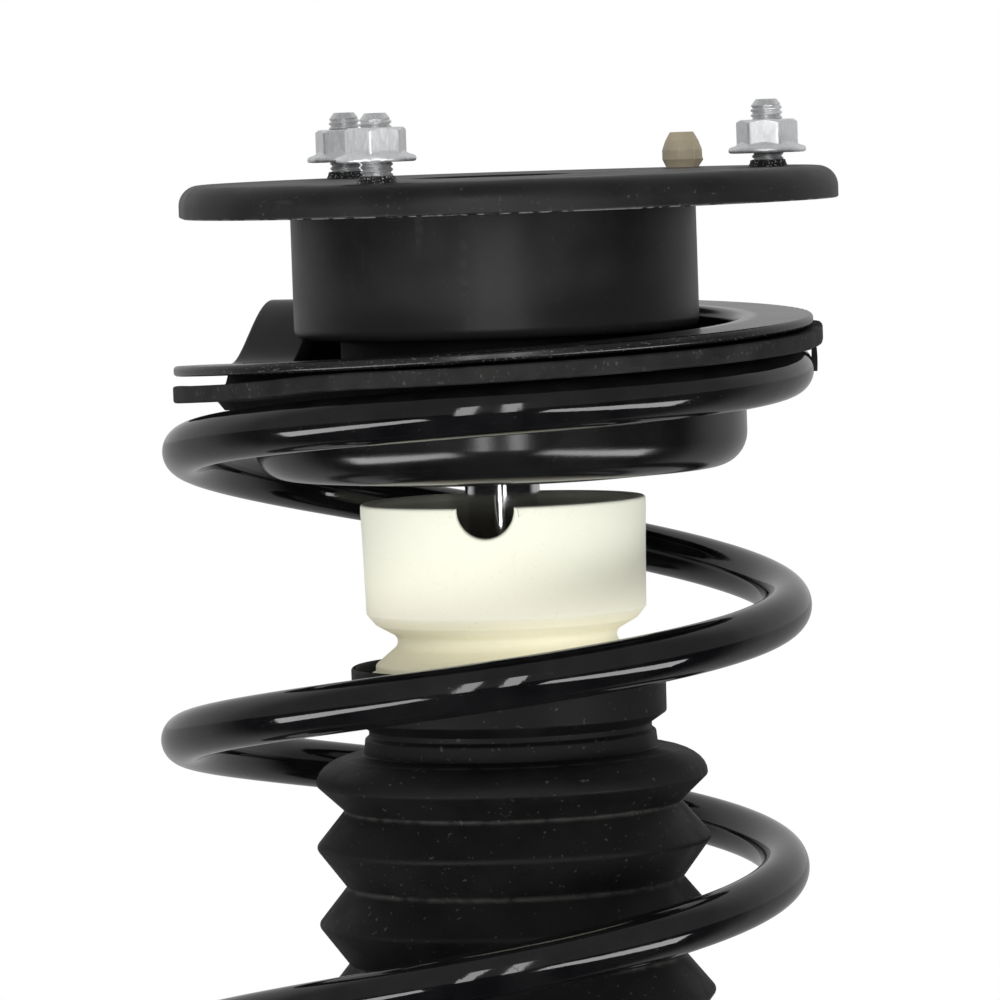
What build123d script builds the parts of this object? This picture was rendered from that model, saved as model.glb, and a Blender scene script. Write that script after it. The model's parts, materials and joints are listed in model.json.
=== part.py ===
from build123d import *
import os
from math import cos, pi, radians, sin, sqrt

# Front suspension strut, complete with its top mount, coil spring, bump stop and dust boot.
# Millimetres. Z runs up along the strut's own axis, and z = 0 is the top face of the mount plate,
# which seats under the body's strut tower. X- is the outboard side, where the knuckle bolts on.
# The strut is drawn fully extended. Clearances between pieces are named below.

# ---- clearances -------------------------------------------------------------------------------
BOND = 0.05            # curved faces glued, pressed or threaded together in one body
RUN = 0.05             # radial running fit of rod, piston band and bearing balls
SEAT = 0.3             # spring and rubber faces that rest on a seat
FREE = 0.3             # curved faces that only pass each other

# ---- mount plate ------------------------------------------------------------------------------
PLATE_REACH = 99.9     # from the studs' centre to the rounded corners, where the studs stand
PLATE_SIDE = 93.2      # from the studs' centre to the middle of each side
PLATE_HEIGHT = 9.5
PLATE_GAUGE = 3.2
PLATE_EDGE_R = 6.0
PLATE_OPENING_R = 24.0

# ---- studs, nuts and locating pin -------------------------------------------------------------
STUD_X = 1.6           # the studs' centre lies this far inboard of the strut's axis
STUD_PCD = 160.0
STUD_COUNT = 3
STUD_TURN = 4.8        # degrees from X to the first stud
STUD_R = 5.0           # plain shank that locates in the tower's hole
STUD_SHANK = 3.4
STUD_THREAD_R = 4.6
STUD_HEIGHT = 19.8
STUD_PRESS_R = 5.6     # knurled part pressed into the plate
STUD_HEAD_R = 8.0
STUD_HEAD = 2.6
NUT_GAPS = (0.6, 1.5, 2.5)  # above the shank; the nuts are only spun on for transport
NUT_FLANGE_R = 11.4
NUT_FLANGE = 1.6
NUT_CONE = 1.6
NUT_FLATS = 16.0
NUT_HEIGHT = 9.8
PIN_TURN = 45.6
PIN_CIRCLE_R = 80.0
PIN_R = 6.0
PIN_BASE_R = 4.9
PIN_TIP_R = 3.4
PIN_FLARE = 2.4
PIN_STRAIGHT = 2.8
PIN_HEIGHT = 10.6
PIN_RIM = 1.5          # how far the foot reaches past the pin, under the plate
PIN_FOOT = 1.6

# ---- mount housing, rubber and rod fixing -----------------------------------------------------
CAN_R = 59.5
CAN_GAUGE = 2.4
CAN_BOTTOM = -46.0
CAN_FLANGE_R = 68.0
CAN_CORNER_R = 3.0
NECK_R = 46.0
NECK_BOTTOM = -74.0
NECK_HOLE_R = 18.0
SLEEVE_R = 16.0
SLEEVE_TOP = -16.0
SLEEVE_FLANGE_R = 34.0
SLEEVE_FLANGE = 3.0
SLEEVE_FLANGE_TOP = -29.0
RUBBER_TOP = -9.0
RUBBER_BOTTOM = -63.0
ROD_SHOULDER = -48.0
ROD_THREAD_R = 6.9
ROD_TOP = -1.6
ROD_NUT_FLATS = 21.0
ROD_NUT_HEIGHT = 9.5
ROD_WASHER_R = 17.0
ROD_WASHER = 3.0

# ---- thrust bearing between the mount and the upper spring seat -------------------------------
BALL_R = 3.0
BALL_COUNT = 24
BALL_CIRCLE_R = 40.0
RACE_IN_R = 33.0
RACE_OUT_R = 46.5
RACE_TOP = 3.5
CAGE_IN_R = 35.5
CAGE_OUT_R = 44.5
CAGE = 1.5

# ---- upper spring seat ------------------------------------------------------------------------
CUP_R = 72.5
CUP_GAUGE = 2.5
CUP_BOTTOM = -88.5
CUP_CORNER_R = 11.0
CUP_HOLE_R = 20.0
RAMP_R = 94.0
RAMP_GAUGE = 3.0
RAMP_LOW = -54.3       # top face of the ramp at RAMP_START
RAMP_PITCH = 19.0      # rise in one turn
RAMP_START = 148.5     # degrees, the low end of the ramp
RAMP_TURN = 347.5      # degrees from the low end to the foot of the step
RAMP_LEG = 21.0        # wall that reaches from the flange down into the cup's wall
LEG_INSET = 0.4
RAMP_FILLET = 5.0      # under the flange, against the wall
STEP_SECTIONS = 7

# ---- upper isolator ---------------------------------------------------------------------------
ISOLATOR_IN_R = 78.2
ISOLATOR_OUT_R = 95.8
ISOLATOR = 5.0
ISOLATOR_START = 172.0
ISOLATOR_END = 478.0
ISOLATOR_SAG = 1.0     # how far its free end hangs from the seat

# ---- coil spring ------------------------------------------------------------------------------
WIRE_R = 7.2
COIL_R = 88.4
SPRING_LEAN = 2.3      # degrees between the spring's axis and the strut's
SPRING_X = -2.9        # where the spring's axis passes at the wire's high end
WIRE_START = 125.0     # degrees, the wire's upper end
# fall of the wire's centre at each half turn, counted from where it passes the +X side
HALF_TURN_FALLS = (0.3, 0.0, 26.1, 69.0, 111.0, 146.3, 199.6, 243.8, 271.7, 285.2, 289.2)
FIRST_HALF_TURN = -1
WIRE_END_TURN = 8.6    # half turns from the +X side to the wire's lower end
FRONT_RISE = 3.5       # the middle turns stand this much higher at the front and lower at the back
RISE_FULL = 1.3        # half turns from the +X side to the whole rise
RISE_LAST = 6.0        # where the rise starts to fade
RISE_FADE = 1.5        # half turns that it takes to fade

# ---- bump stop and dust boot ------------------------------------------------------------------
BUMP_TOP = -95.0
BUMP_R = 42.0
BUMP_SKIRT_R = 41.2
BUMP_SKIRT = 32.6
BUMP_NECK_R = 30.3
BUMP_NECK = 40.3
BUMP_FLARE = 48.0      # from the top down to where the flare enters the boot
BUMP_FLARE_R = 39.0
BUMP_LIP_R = 42.4
BUMP_LENGTH = 77.0
BUMP_WALL = 5.0
BUMP_CUP = 17.0
BUMP_TIP_R = 25.0
NOTCH_W = 16.6
NOTCH_DEPTH = 9.0
NOTCH_X = -5.2
BOOT_TOP = BUMP_TOP - BUMP_FLARE
BOOT_WALL = 2.2
BOOT_COLLAR_R = 46.2
BOOT_COLLAR = 16.8
BOOT_GROOVE_R = 41.8
BOOT_RING_R = 43.4
BOOT_PEAK_R = 58.5
BOOT_VALLEY_R = 49.6
BOOT_FIRST_PEAK = -176.0
BOOT_SECOND_PEAK = -195.8
BOOT_PITCH = 22.8
BOOT_PLEATS = 6
BOOT_BOTTOM = -334.0
BOOT_FOOT = 11.0

# ---- piston rod and its fittings --------------------------------------------------------------
ROD_R = 11.0
JOURNAL_R = 5.95
JOURNAL_TOP = -358.4
PISTON_R = 15.4
PISTON_TOP = -360.0
PISTON = 16.0
BAND_DEPTH = 1.0
BAND = 6.0
SHIM_R = 12.0
PISTON_NUT_FLATS = 18.0
PISTON_NUT = 10.0
STOP_R = 15.2
STOP = 6.0

# ---- damper tube and what is inside it --------------------------------------------------------
TUBE_R = 27.0
TUBE_GAUGE = 2.6
TUBE_TOP = -275.0
TUBE_BOTTOM = -620.0
TUBE_LIP = 2.0
TUBE_LIP_IN_R = 19.5
CAP_GAUGE = 3.0
CAP_SKIRT = 16.0
CAP_WALL = 1.6
CAP_HOLE_R = 12.5
SEAL = 6.0
GUIDE = 17.0
GUIDE_SPIGOT = 6.0
BUSH_WALL = 1.5
CYLINDER_BORE_R = 16.0
CYLINDER_WALL = 1.2
VALVE = 10.0
END_CAP = 4.0

# ---- lower spring seat ------------------------------------------------------------------------
LOWER_ISOLATOR = 4.0
LOWER_SEAT_GAUGE = 3.2
LOWER_SEAT_LIP = 7.0
LOWER_SEAT_OUTSIDE = 1.2   # room between the wire and the lip
LOWER_SEAT_INSIDE = 4.7    # room between the wire and the pilot
LOWER_SEAT_R = COIL_R + WIRE_R + LOWER_SEAT_OUTSIDE + LOWER_SEAT_GAUGE
LOWER_SEAT_PILOT_R = COIL_R - WIRE_R - LOWER_SEAT_INSIDE
HUB = 26.0
HUB_WALL = 3.4

# ---- brackets on the tube ---------------------------------------------------------------------
KNUCKLE_HEIGHT = 88.0
KNUCKLE_ABOVE_FOOT = 8.0
KNUCKLE_BOTTOM = TUBE_BOTTOM + KNUCKLE_ABOVE_FOOT
KNUCKLE_TOP = KNUCKLE_BOTTOM + KNUCKLE_HEIGHT
KNUCKLE_GAUGE = 5.0
KNUCKLE_GAP = 38.0
KNUCKLE_REACH = 82.0
KNUCKLE_BOLT_X = -57.0
KNUCKLE_BOLT_INSET = 17.0
KNUCKLE_BOLT_Z = KNUCKLE_TOP - KNUCKLE_BOLT_INSET
KNUCKLE_BOLT_STEP = 54.0
KNUCKLE_BOLT_R = 8.25
KNUCKLE_CORNER_R = 11.0
KNUCKLE_TAPER = 14.0
LINK_Z = -432.0
LINK_HEIGHT = 38.0
LINK_GAUGE = 5.0
LINK_REACH = 64.0
LINK_HOLE_R = 6.1
LINK_HOLE_REACH = 50.0
HOSE_Z = -470.0
HOSE_GAUGE = 3.0
HOSE_WIDTH = 24.0
HOSE_REACH = 58.0
HOSE_HOLE_R = 5.2
HOSE_HOLE_REACH = 46.0
SADDLE_GAUGE = 4.0


# ---- helpers ----------------------------------------------------------------------------------
def turned(*points):
    """A solid turned about Z from a closed outline of (radius, height) points."""
    outline = make_face(Polyline(*points, close=True))
    return revolve(Plane.XZ * outline, Axis.Z)


def ring(inner, outer, low, high):
    """A round ring, or a disc where inner is 0, between two heights."""
    return turned((inner, low), (outer, low), (outer, high), (inner, high))


def hexagon(flats, low, high):
    """A hexagon bar across the given flats."""
    return extrude(Pos(0, 0, low) * RegularPolygon(flats / 2, 6, major_radius=False), high - low)


def around(radius, turn, count, step=0.0):
    """Places evenly spaced on a circle, the first at the angle turn."""
    step = step or 360.0 / count
    return [Rot(0, 0, turn + i * step) * Pos(radius, 0, 0) for i in range(count)]


def stud_places(radius):
    """Places on a circle about the studs' centre, one towards each stud."""
    return [Pos(STUD_X, 0, 0) * place for place in around(radius, STUD_TURN, STUD_COUNT)]


def pin_place():
    """Where the locating pin stands."""
    return Pos(STUD_X, 0, 0) * Rot(0, 0, PIN_TURN) * Pos(PIN_CIRCLE_R, 0, 0)


def tri_round(reach, side):
    """A triangle of three round corners whose corners lie at reach and whose sides lie at side."""
    corner_out = 2.0 * (reach - side)
    corner_r = reach - corner_out
    corners = [place * Circle(corner_r) for place in stud_places(corner_out)]
    return make_face(make_hull([corner.edge() for corner in corners]))


# ---- the mount --------------------------------------------------------------------------------
def mount_plate():
    """Pressed plate with a turned-down rim, a centre opening, stud holes and a pin hole."""
    body = extrude(Pos(0, 0, -PLATE_HEIGHT) * tri_round(PLATE_REACH, PLATE_SIDE), PLATE_HEIGHT)
    body = fillet(body.faces().sort_by(Axis.Z)[-1].edges(), PLATE_EDGE_R)
    inner = tri_round(PLATE_REACH - PLATE_GAUGE, PLATE_SIDE - PLATE_GAUGE)
    hollow = extrude(Pos(0, 0, -PLATE_HEIGHT) * inner, PLATE_HEIGHT - PLATE_GAUGE)
    hollow = fillet(hollow.faces().sort_by(Axis.Z)[-1].edges(), PLATE_EDGE_R - PLATE_GAUGE / 2)
    body -= hollow
    body -= ring(0, PLATE_OPENING_R, -PLATE_HEIGHT, 0)
    for place in stud_places(STUD_PCD / 2):
        body -= place * ring(0, STUD_PRESS_R + BOND, -PLATE_HEIGHT, 0)
    return body - pin_place() * ring(0, PIN_R + BOND, -PLATE_HEIGHT, 0)


def stud():
    """One press-in stud: round head below the plate, knurl in it, shank and thread above."""
    head = -PLATE_GAUGE - STUD_HEAD
    tip = STUD_HEIGHT - 1.2
    return turned(
        (0, head), (STUD_HEAD_R, head), (STUD_HEAD_R, -PLATE_GAUGE), (STUD_PRESS_R, -PLATE_GAUGE),
        (STUD_PRESS_R, 0), (STUD_R, 0), (STUD_R, STUD_SHANK), (STUD_THREAD_R, STUD_SHANK),
        (STUD_THREAD_R, tip), (STUD_THREAD_R - 1.0, STUD_HEIGHT), (0, STUD_HEIGHT),
    )


def flange_nut(gap):
    """One hexagon nut with its washer-like flange, the given gap above its stud's shank."""
    low = STUD_SHANK + gap
    cone = low + NUT_FLANGE + NUT_CONE
    top = low + NUT_HEIGHT
    corner = NUT_FLATS / sqrt(3)
    flange = turned(
        (0, low), (NUT_FLANGE_R, low), (NUT_FLANGE_R, low + NUT_FLANGE),
        (NUT_FLATS / 2, cone), (0, cone),
    )
    crown = turned(
        (0, cone - 1), (corner, cone - 1), (corner, top - 1), (NUT_FLATS / 2, top), (0, top)
    )
    bore = ring(0, STUD_THREAD_R + BOND, low, top)
    return flange + (hexagon(NUT_FLATS, cone - 1, top) & crown) - bore


def mount_studs():
    """The studs, as separate solids."""
    return Compound(children=[place * stud() for place in stud_places(STUD_PCD / 2)])


def flange_nuts():
    """The nuts, as separate solids, each spun on to its own height."""
    nuts = zip(stud_places(STUD_PCD / 2), NUT_GAPS)
    return Compound(children=[place * flange_nut(gap) for place, gap in nuts])


def locating_pin():
    """Moulded pin that finds its hole in the tower, pushed up through the plate."""
    full = PIN_FLARE + PIN_STRAIGHT
    under, foot = -PLATE_GAUGE, -PLATE_GAUGE - PIN_FOOT
    pin = turned(
        (0, foot), (PIN_R + PIN_RIM, foot), (PIN_R + PIN_RIM, under), (PIN_R, under), (PIN_R, 0),
        (PIN_BASE_R, 0), (PIN_R, PIN_FLARE), (PIN_R, full), (PIN_TIP_R, PIN_HEIGHT), (0, PIN_HEIGHT),
    )
    return pin_place() * pin


def mount_can():
    """Pressed housing welded under the plate: a wide cup with a narrower neck below it."""
    top = -PLATE_GAUGE
    wall = CAN_GAUGE
    can = turned(
        (CAN_FLANGE_R, top), (CAN_FLANGE_R, top - wall), (CAN_R, top - wall), (CAN_R, CAN_BOTTOM),
        (NECK_R, CAN_BOTTOM), (NECK_R, NECK_BOTTOM), (NECK_HOLE_R, NECK_BOTTOM),
        (NECK_HOLE_R, NECK_BOTTOM + wall), (NECK_R - wall, NECK_BOTTOM + wall),
        (NECK_R - wall, CAN_BOTTOM + wall), (CAN_R - wall, CAN_BOTTOM + wall), (CAN_R - wall, top),
    )
    rim = can.edges().filter_by(GeomType.CIRCLE).filter_by(
        lambda edge: abs(edge.radius - CAN_R) < 0.01 and abs(edge.center().Z - CAN_BOTTOM) < 0.01
    )
    return fillet(rim, CAN_CORNER_R - CAN_GAUGE / 2)


def mount_sleeve():
    """Steel sleeve that the rod's nut clamps, with a flange held in the rubber."""
    bore = ROD_THREAD_R + BOND
    flange_low = SLEEVE_FLANGE_TOP - SLEEVE_FLANGE
    return turned(
        (bore, ROD_SHOULDER), (SLEEVE_R, ROD_SHOULDER), (SLEEVE_R, flange_low),
        (SLEEVE_FLANGE_R, flange_low), (SLEEVE_FLANGE_R, SLEEVE_FLANGE_TOP),
        (SLEEVE_R, SLEEVE_FLANGE_TOP), (SLEEVE_R, SLEEVE_TOP), (bore, SLEEVE_TOP),
    )


def mount_rubber():
    """Rubber moulded between the sleeve and the housing, with a soft groove on top."""
    wall = CAN_R - CAN_GAUGE - BOND
    neck = NECK_R - CAN_GAUGE - BOND
    ledge = CAN_BOTTOM + CAN_GAUGE
    block = turned(
        (SLEEVE_R, RUBBER_BOTTOM), (neck - 12, RUBBER_BOTTOM), (neck, RUBBER_BOTTOM + 9), (neck, ledge),
        (wall, ledge), (wall, RUBBER_TOP), (wall - 9, RUBBER_TOP), (wall - 14, RUBBER_TOP - 10),
        (wall - 20, RUBBER_TOP - 10), (wall - 26, RUBBER_TOP - 3), (SLEEVE_R, RUBBER_TOP - 9),
    )
    block -= ring(0, SLEEVE_R + BOND, RUBBER_BOTTOM, 0)
    flange_low = SLEEVE_FLANGE_TOP - SLEEVE_FLANGE
    return block - ring(0, SLEEVE_FLANGE_R + BOND, flange_low, SLEEVE_FLANGE_TOP)


def rod_washer():
    """Flat washer under the rod's nut."""
    return ring(ROD_THREAD_R + BOND, ROD_WASHER_R, SLEEVE_TOP, SLEEVE_TOP + ROD_WASHER)


def rod_nut():
    """Nut that holds the rod to the mount, reached through the plate's opening."""
    low = SLEEVE_TOP + ROD_WASHER
    top = low + ROD_NUT_HEIGHT
    corner = ROD_NUT_FLATS / sqrt(3)
    crown = turned((0, low), (corner, low), (corner, top - 1.4), (ROD_NUT_FLATS / 2, top), (0, top))
    bore = ring(0, ROD_THREAD_R + BOND, low, top)
    return (hexagon(ROD_NUT_FLATS, low, top) & crown) - bore


# ---- the bearing ------------------------------------------------------------------------------
BALL_Z = NECK_BOTTOM - RACE_TOP - BALL_R / 2


def race_groove():
    """The round track that the balls roll in."""
    return Pos(0, 0, BALL_Z) * Torus(BALL_CIRCLE_R, BALL_R + RUN)


def bearing_upper_race():
    """Race that sits against the mount's neck."""
    return ring(RACE_IN_R, RACE_OUT_R, NECK_BOTTOM - RACE_TOP, NECK_BOTTOM) - race_groove()


def bearing_lower_race():
    """Race that lies on the floor of the upper spring seat."""
    floor = CUP_BOTTOM + CUP_GAUGE
    return ring(RACE_IN_R, RACE_OUT_R, floor, BALL_Z - BALL_R / 2) - race_groove()


def ball_places():
    """Where each ball runs."""
    return [Pos(0, 0, BALL_Z) * place for place in around(BALL_CIRCLE_R, 0, BALL_COUNT)]


def bearing_cage():
    """Flat cage that keeps the balls apart."""
    cage = ring(CAGE_IN_R, CAGE_OUT_R, BALL_Z - CAGE / 2, BALL_Z + CAGE / 2)
    for place in ball_places():
        cage -= place * Cylinder(BALL_R + 2 * RUN, CAGE * 2)
    return cage


def bearing_balls():
    """The balls, as separate solids."""
    return Compound(children=[place * Sphere(BALL_R) for place in ball_places()])


# ---- upper spring seat and isolator -----------------------------------------------------------
def ramp_top(angle):
    """Height of the seat's top face, which climbs with the wire and falls back in a step."""
    turned_by = (angle - RAMP_START) % 360.0
    if turned_by <= RAMP_TURN:
        return RAMP_LOW + RAMP_PITCH * turned_by / 360.0
    share = (turned_by - RAMP_TURN) / (360.0 - RAMP_TURN)
    high = RAMP_LOW + RAMP_PITCH * RAMP_TURN / 360.0
    return high + (RAMP_LOW - high) * share * share * (3.0 - 2.0 * share)


def ramp_section(angle, height):
    """Upside-down L of the seat at one angle: the flange, and a thinner wall that joins the cup's."""
    inner, outer = CUP_R - CUP_GAUGE + LEG_INSET, CUP_R - LEG_INSET
    under = height - RAMP_GAUGE
    bow = RAMP_FILLET * (1 - cos(pi / 4))
    outline = Polyline(
        (inner, height), (RAMP_R, height), (RAMP_R, under), (outer + RAMP_FILLET, under),
        (outer + bow, under - bow), (outer, under - RAMP_FILLET), (outer, height - RAMP_LEG),
        (inner, height - RAMP_LEG), close=True,
    )
    return Rot(0, 0, angle) * (Plane.XZ * outline)


def helix_sweep(section, start, turn, rise):
    """A flat section carried up a helix about Z, kept upright."""
    path = Rot(0, 0, start) * Edge.make_helix(360.0 * rise / turn, rise, CUP_R)
    return Solid.sweep(Wire(section.edges()), path, is_frenet=True)


def round_plug(radius, low, high, corner):
    """A solid plug with a rounded lower edge."""
    plug = ring(0, radius, low, high)
    return fillet(plug.faces().sort_by(Axis.Z)[0].edges(), corner)


def upper_spring_seat():
    """Pressed seat: a cup that holds the bearing, and a flange that climbs like the end coil."""
    inner = CUP_R - CUP_GAUGE
    floor = CUP_BOTTOM + CUP_GAUGE
    wall_top = RAMP_LOW - RAMP_GAUGE / 2
    cup = round_plug(CUP_R, CUP_BOTTOM, wall_top, CUP_CORNER_R)
    cup -= round_plug(inner, floor, wall_top, CUP_CORNER_R - CUP_GAUGE)
    cup -= ring(0, CUP_HOLE_R, CUP_BOTTOM, floor)
    rise = RAMP_PITCH * RAMP_TURN / 360.0
    flange = helix_sweep(ramp_section(RAMP_START, RAMP_LOW), RAMP_START, RAMP_TURN, rise)
    turns = [RAMP_TURN + (360.0 - RAMP_TURN) * i / (STEP_SECTIONS - 1) for i in range(STEP_SECTIONS)]
    angles = [RAMP_START + turn for turn in turns]
    step = Solid.make_loft([Wire(ramp_section(a, ramp_top(a)).edges()) for a in angles], ruled=True)
    return cup + flange + step


def isolator_top(angle):
    """Height of the isolator's top face: close under the seat at its high end, sagging at the low end."""
    high_end = ramp_top(ISOLATOR_END) - RAMP_GAUGE - SEAT
    share = (ISOLATOR_END - angle) / (ISOLATOR_END - ISOLATOR_START)
    low_end = ramp_top(ISOLATOR_START) - RAMP_GAUGE - ISOLATOR_SAG
    return high_end + (low_end - high_end) * share


def upper_isolator():
    """Rubber strip between the upper seat and the wire."""
    low, high = isolator_top(ISOLATOR_START), isolator_top(ISOLATOR_END)
    outline = Polyline(
        (ISOLATOR_IN_R, low), (ISOLATOR_OUT_R, low), (ISOLATOR_OUT_R, low - ISOLATOR),
        (ISOLATOR_IN_R, low - ISOLATOR), close=True,
    )
    section = Rot(0, 0, ISOLATOR_START) * (Plane.XZ * outline)
    return helix_sweep(section, ISOLATOR_START, ISOLATOR_END - ISOLATOR_START, high - low)


# ---- coil spring ------------------------------------------------------------------------------
LEAN = radians(SPRING_LEAN)
SPRING_ACROSS = Vector(cos(LEAN), 0, -sin(LEAN))
SPRING_DOWN = Vector(-sin(LEAN), 0, -cos(LEAN))
WIRE_TOP = isolator_top(360) - ISOLATOR - SEAT
SPRING_HEAD = Vector(SPRING_X, 0, WIRE_TOP - WIRE_R + COIL_R * sin(LEAN))


def smooth(share):
    """Smooth step from 0 to 1."""
    share = min(max(share, 0.0), 1.0)
    return share * share * (3 - 2 * share)


def wire_fall(half_turns):
    """Fall of the wire's centre: a smooth curve through the half-turn values, less the front's rise."""
    place = min(max(half_turns - FIRST_HALF_TURN, 0.0), len(HALF_TURN_FALLS) - 1.000001)
    i = int(place)
    t = place - i
    falls = HALF_TURN_FALLS

    def slope(k):
        before, after = max(k - 1, 0), min(k + 1, len(falls) - 1)
        return (falls[after] - falls[before]) / (after - before)

    curve = (falls[i] * (2 * t**3 - 3 * t**2 + 1) + slope(i) * (t**3 - 2 * t**2 + t)
             + falls[i + 1] * (3 * t**2 - 2 * t**3) + slope(i + 1) * (t**3 - t**2))
    rise = FRONT_RISE * smooth(half_turns / RISE_FULL)
    rise *= 1 - smooth((half_turns - RISE_LAST) / RISE_FADE)
    return curve - rise * sin(pi * half_turns)


def wire_rate(half_turns):
    """Slope of the fall, by half turn."""
    step = 1e-4
    return (wire_fall(half_turns + step) - wire_fall(half_turns - step)) / (2 * step)


def wire_point(half_turns):
    """Centre of the wire and its direction, half_turns after it passes the +X side going down."""
    angle = -pi * half_turns
    out = SPRING_ACROSS * cos(angle) + Vector(0, sin(angle), 0)
    along = (SPRING_ACROSS * -sin(angle) + Vector(0, cos(angle), 0)) * (-pi * COIL_R)
    along += SPRING_DOWN * wire_rate(half_turns)
    return SPRING_HEAD + out * COIL_R + SPRING_DOWN * wire_fall(half_turns), along.normalized()


def biarc(start, start_way, end, end_way):
    """Two tangent arcs from start to end that keep both end directions."""
    chord, ways = end - start, start_way + end_way
    spread = 2.0 * (1.0 - start_way.dot(end_way))
    reach = (-chord.dot(ways) + sqrt(chord.dot(ways) ** 2 + spread * chord.dot(chord))) / spread
    middle = (start + start_way * reach + end - end_way * reach) * 0.5
    first = Edge.make_tangent_arc(start, start_way, middle)
    return [first, Edge.make_tangent_arc(middle, first.tangent_at(1), end)]


def wire_turns():
    """Half-turn counts of the points that the quarter-turn biarcs join."""
    first = -WIRE_START / 180.0
    count = round((WIRE_END_TURN - first) * 2)
    return [first + (WIRE_END_TURN - first) * i / count for i in range(count + 1)]


def coil_spring():
    """The spring's wire, one round bar wound down on quarter-turn biarcs."""
    points = [wire_point(turn) for turn in wire_turns()]
    arcs = []
    for (start, start_way), (end, end_way) in zip(points, points[1:]):
        arcs += biarc(start, start_way, end, end_way)
    path = Wire(arcs)
    start, start_way = points[0]
    section = Plane(origin=start, z_dir=start_way) * Circle(WIRE_R)
    spring = sweep(section, path)
    share = spring.volume / (pi * WIRE_R**2 * path.length)
    print(f"spring: wire length {path.length:.0f}, volume {share:.4f} of section by length")
    print(f"spring: least gap between turns {least_turn_gap():.2f}")
    print(f"spring: tightest arc {min(arc.radius for arc in arcs):.1f}")
    return spring


def least_turn_gap():
    """Smallest distance between faces of neighbouring turns, measured on points of the wire."""
    first = -WIRE_START / 180.0
    steps_per_half = 24
    count = int((WIRE_END_TURN - first) * steps_per_half)
    points = [wire_point(first + i / steps_per_half)[0] for i in range(count + 1)]
    gap = 1e9
    for i in range(len(points)):
        for j in range(i + steps_per_half, min(i + 3 * steps_per_half, len(points))):
            gap = min(gap, (points[i] - points[j]).length - 2 * WIRE_R)
    return gap


# ---- bump stop and boot -----------------------------------------------------------------------
def bump_stop():
    """Polyurethane stop: hollow top with a notch, a waist, and a flare that carries the boot."""
    top, bore, low = BUMP_TOP, ROD_R + RUN, BUMP_TOP - BUMP_LENGTH
    lip = BOOT_TOP - BOOT_WALL - BOND
    skirt, cup = top - BUMP_SKIRT, top - BUMP_CUP
    body = turned(
        (bore, low), (BUMP_TIP_R, low), (BUMP_NECK_R, lip - 16), (BUMP_LIP_R - 5, lip - 12),
        (BUMP_LIP_R, lip - 10), (BUMP_LIP_R, lip - 2), (BUMP_FLARE_R, lip), (BUMP_FLARE_R, BOOT_TOP),
        (BUMP_NECK_R, top - BUMP_NECK), (BUMP_SKIRT_R - 2.6, skirt - 3.2), (BUMP_SKIRT_R, skirt),
        (BUMP_R, top), (BUMP_R - BUMP_WALL, top), (BUMP_R - BUMP_WALL - 1.5, cup),
        (bore + 4, cup - 5), (bore, cup - 8),
    )
    notch = Pos(NOTCH_X, -BUMP_R + BUMP_WALL, top - NOTCH_DEPTH + NOTCH_W / 2)
    cutter = notch * Rot(90, 0, 0) * Cylinder(NOTCH_W / 2, 4 * BUMP_WALL)
    cutter += notch * Pos(0, 0, NOTCH_W / 2) * Box(NOTCH_W, 4 * BUMP_WALL, NOTCH_W)
    return body - cutter


def boot_pleats():
    """(radius, height) of the boot's outer peaks and valleys, from the first round bulge down."""
    peaks = [BOOT_FIRST_PEAK] + [BOOT_SECOND_PEAK - BOOT_PITCH * i for i in range(BOOT_PLEATS)]
    bulge = BOOT_PEAK_R - 0.8
    points = [(bulge - 2.7, peaks[0] + 5), (bulge, peaks[0] + 1.5), (bulge, peaks[0] - 1.5)]
    for upper, lower in zip(peaks, peaks[1:]):
        middle = (upper + lower) / 2
        points += [(BOOT_VALLEY_R, middle + 0.4), (BOOT_VALLEY_R, middle - 0.4)]
        points += [(BOOT_PEAK_R, lower + 0.6), (BOOT_PEAK_R, lower - 0.6)]
    return points


def dust_boot():
    """Bellows that cover the rod: a collar on the bump stop, pleats, and a foot on the tube."""
    collar_low = BOOT_TOP - BOOT_COLLAR
    foot_r = TUBE_R + FREE + BOOT_WALL
    shoulder = BOOT_BOTTOM + BOOT_FOOT
    pleats = boot_pleats()
    outer = [
        (BUMP_FLARE_R + BOND, BOOT_TOP), (BOOT_COLLAR_R, BOOT_TOP), (BOOT_COLLAR_R, collar_low),
        (BOOT_GROOVE_R, collar_low - 1.4), (BOOT_GROOVE_R, collar_low - 3.4),
        (BOOT_RING_R, collar_low - 4.4), (BOOT_RING_R + 0.8, collar_low - 9),
    ] + pleats + [(BOOT_VALLEY_R - 6, shoulder + 3), (foot_r, shoulder), (foot_r, BOOT_BOTTOM)]
    inner = [(foot_r - BOOT_WALL, BOOT_BOTTOM), (foot_r - BOOT_WALL, shoulder + 2)]
    inner += [(BOOT_VALLEY_R - 9, shoulder + 5)]
    inner += [(radius - BOOT_WALL, height) for radius, height in reversed(pleats)]
    inner += [
        (BOOT_RING_R - BOOT_WALL, collar_low - 9), (BOOT_GROOVE_R - BOOT_WALL, collar_low - 3),
        (BOOT_GROOVE_R - BOOT_WALL, collar_low + 1), (BUMP_LIP_R + BOND, collar_low + 4),
        (BUMP_LIP_R + BOND, BOOT_TOP - BOOT_WALL), (BUMP_FLARE_R + BOND, BOOT_TOP - BOOT_WALL),
    ]
    return turned(*outer, *inner)


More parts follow.
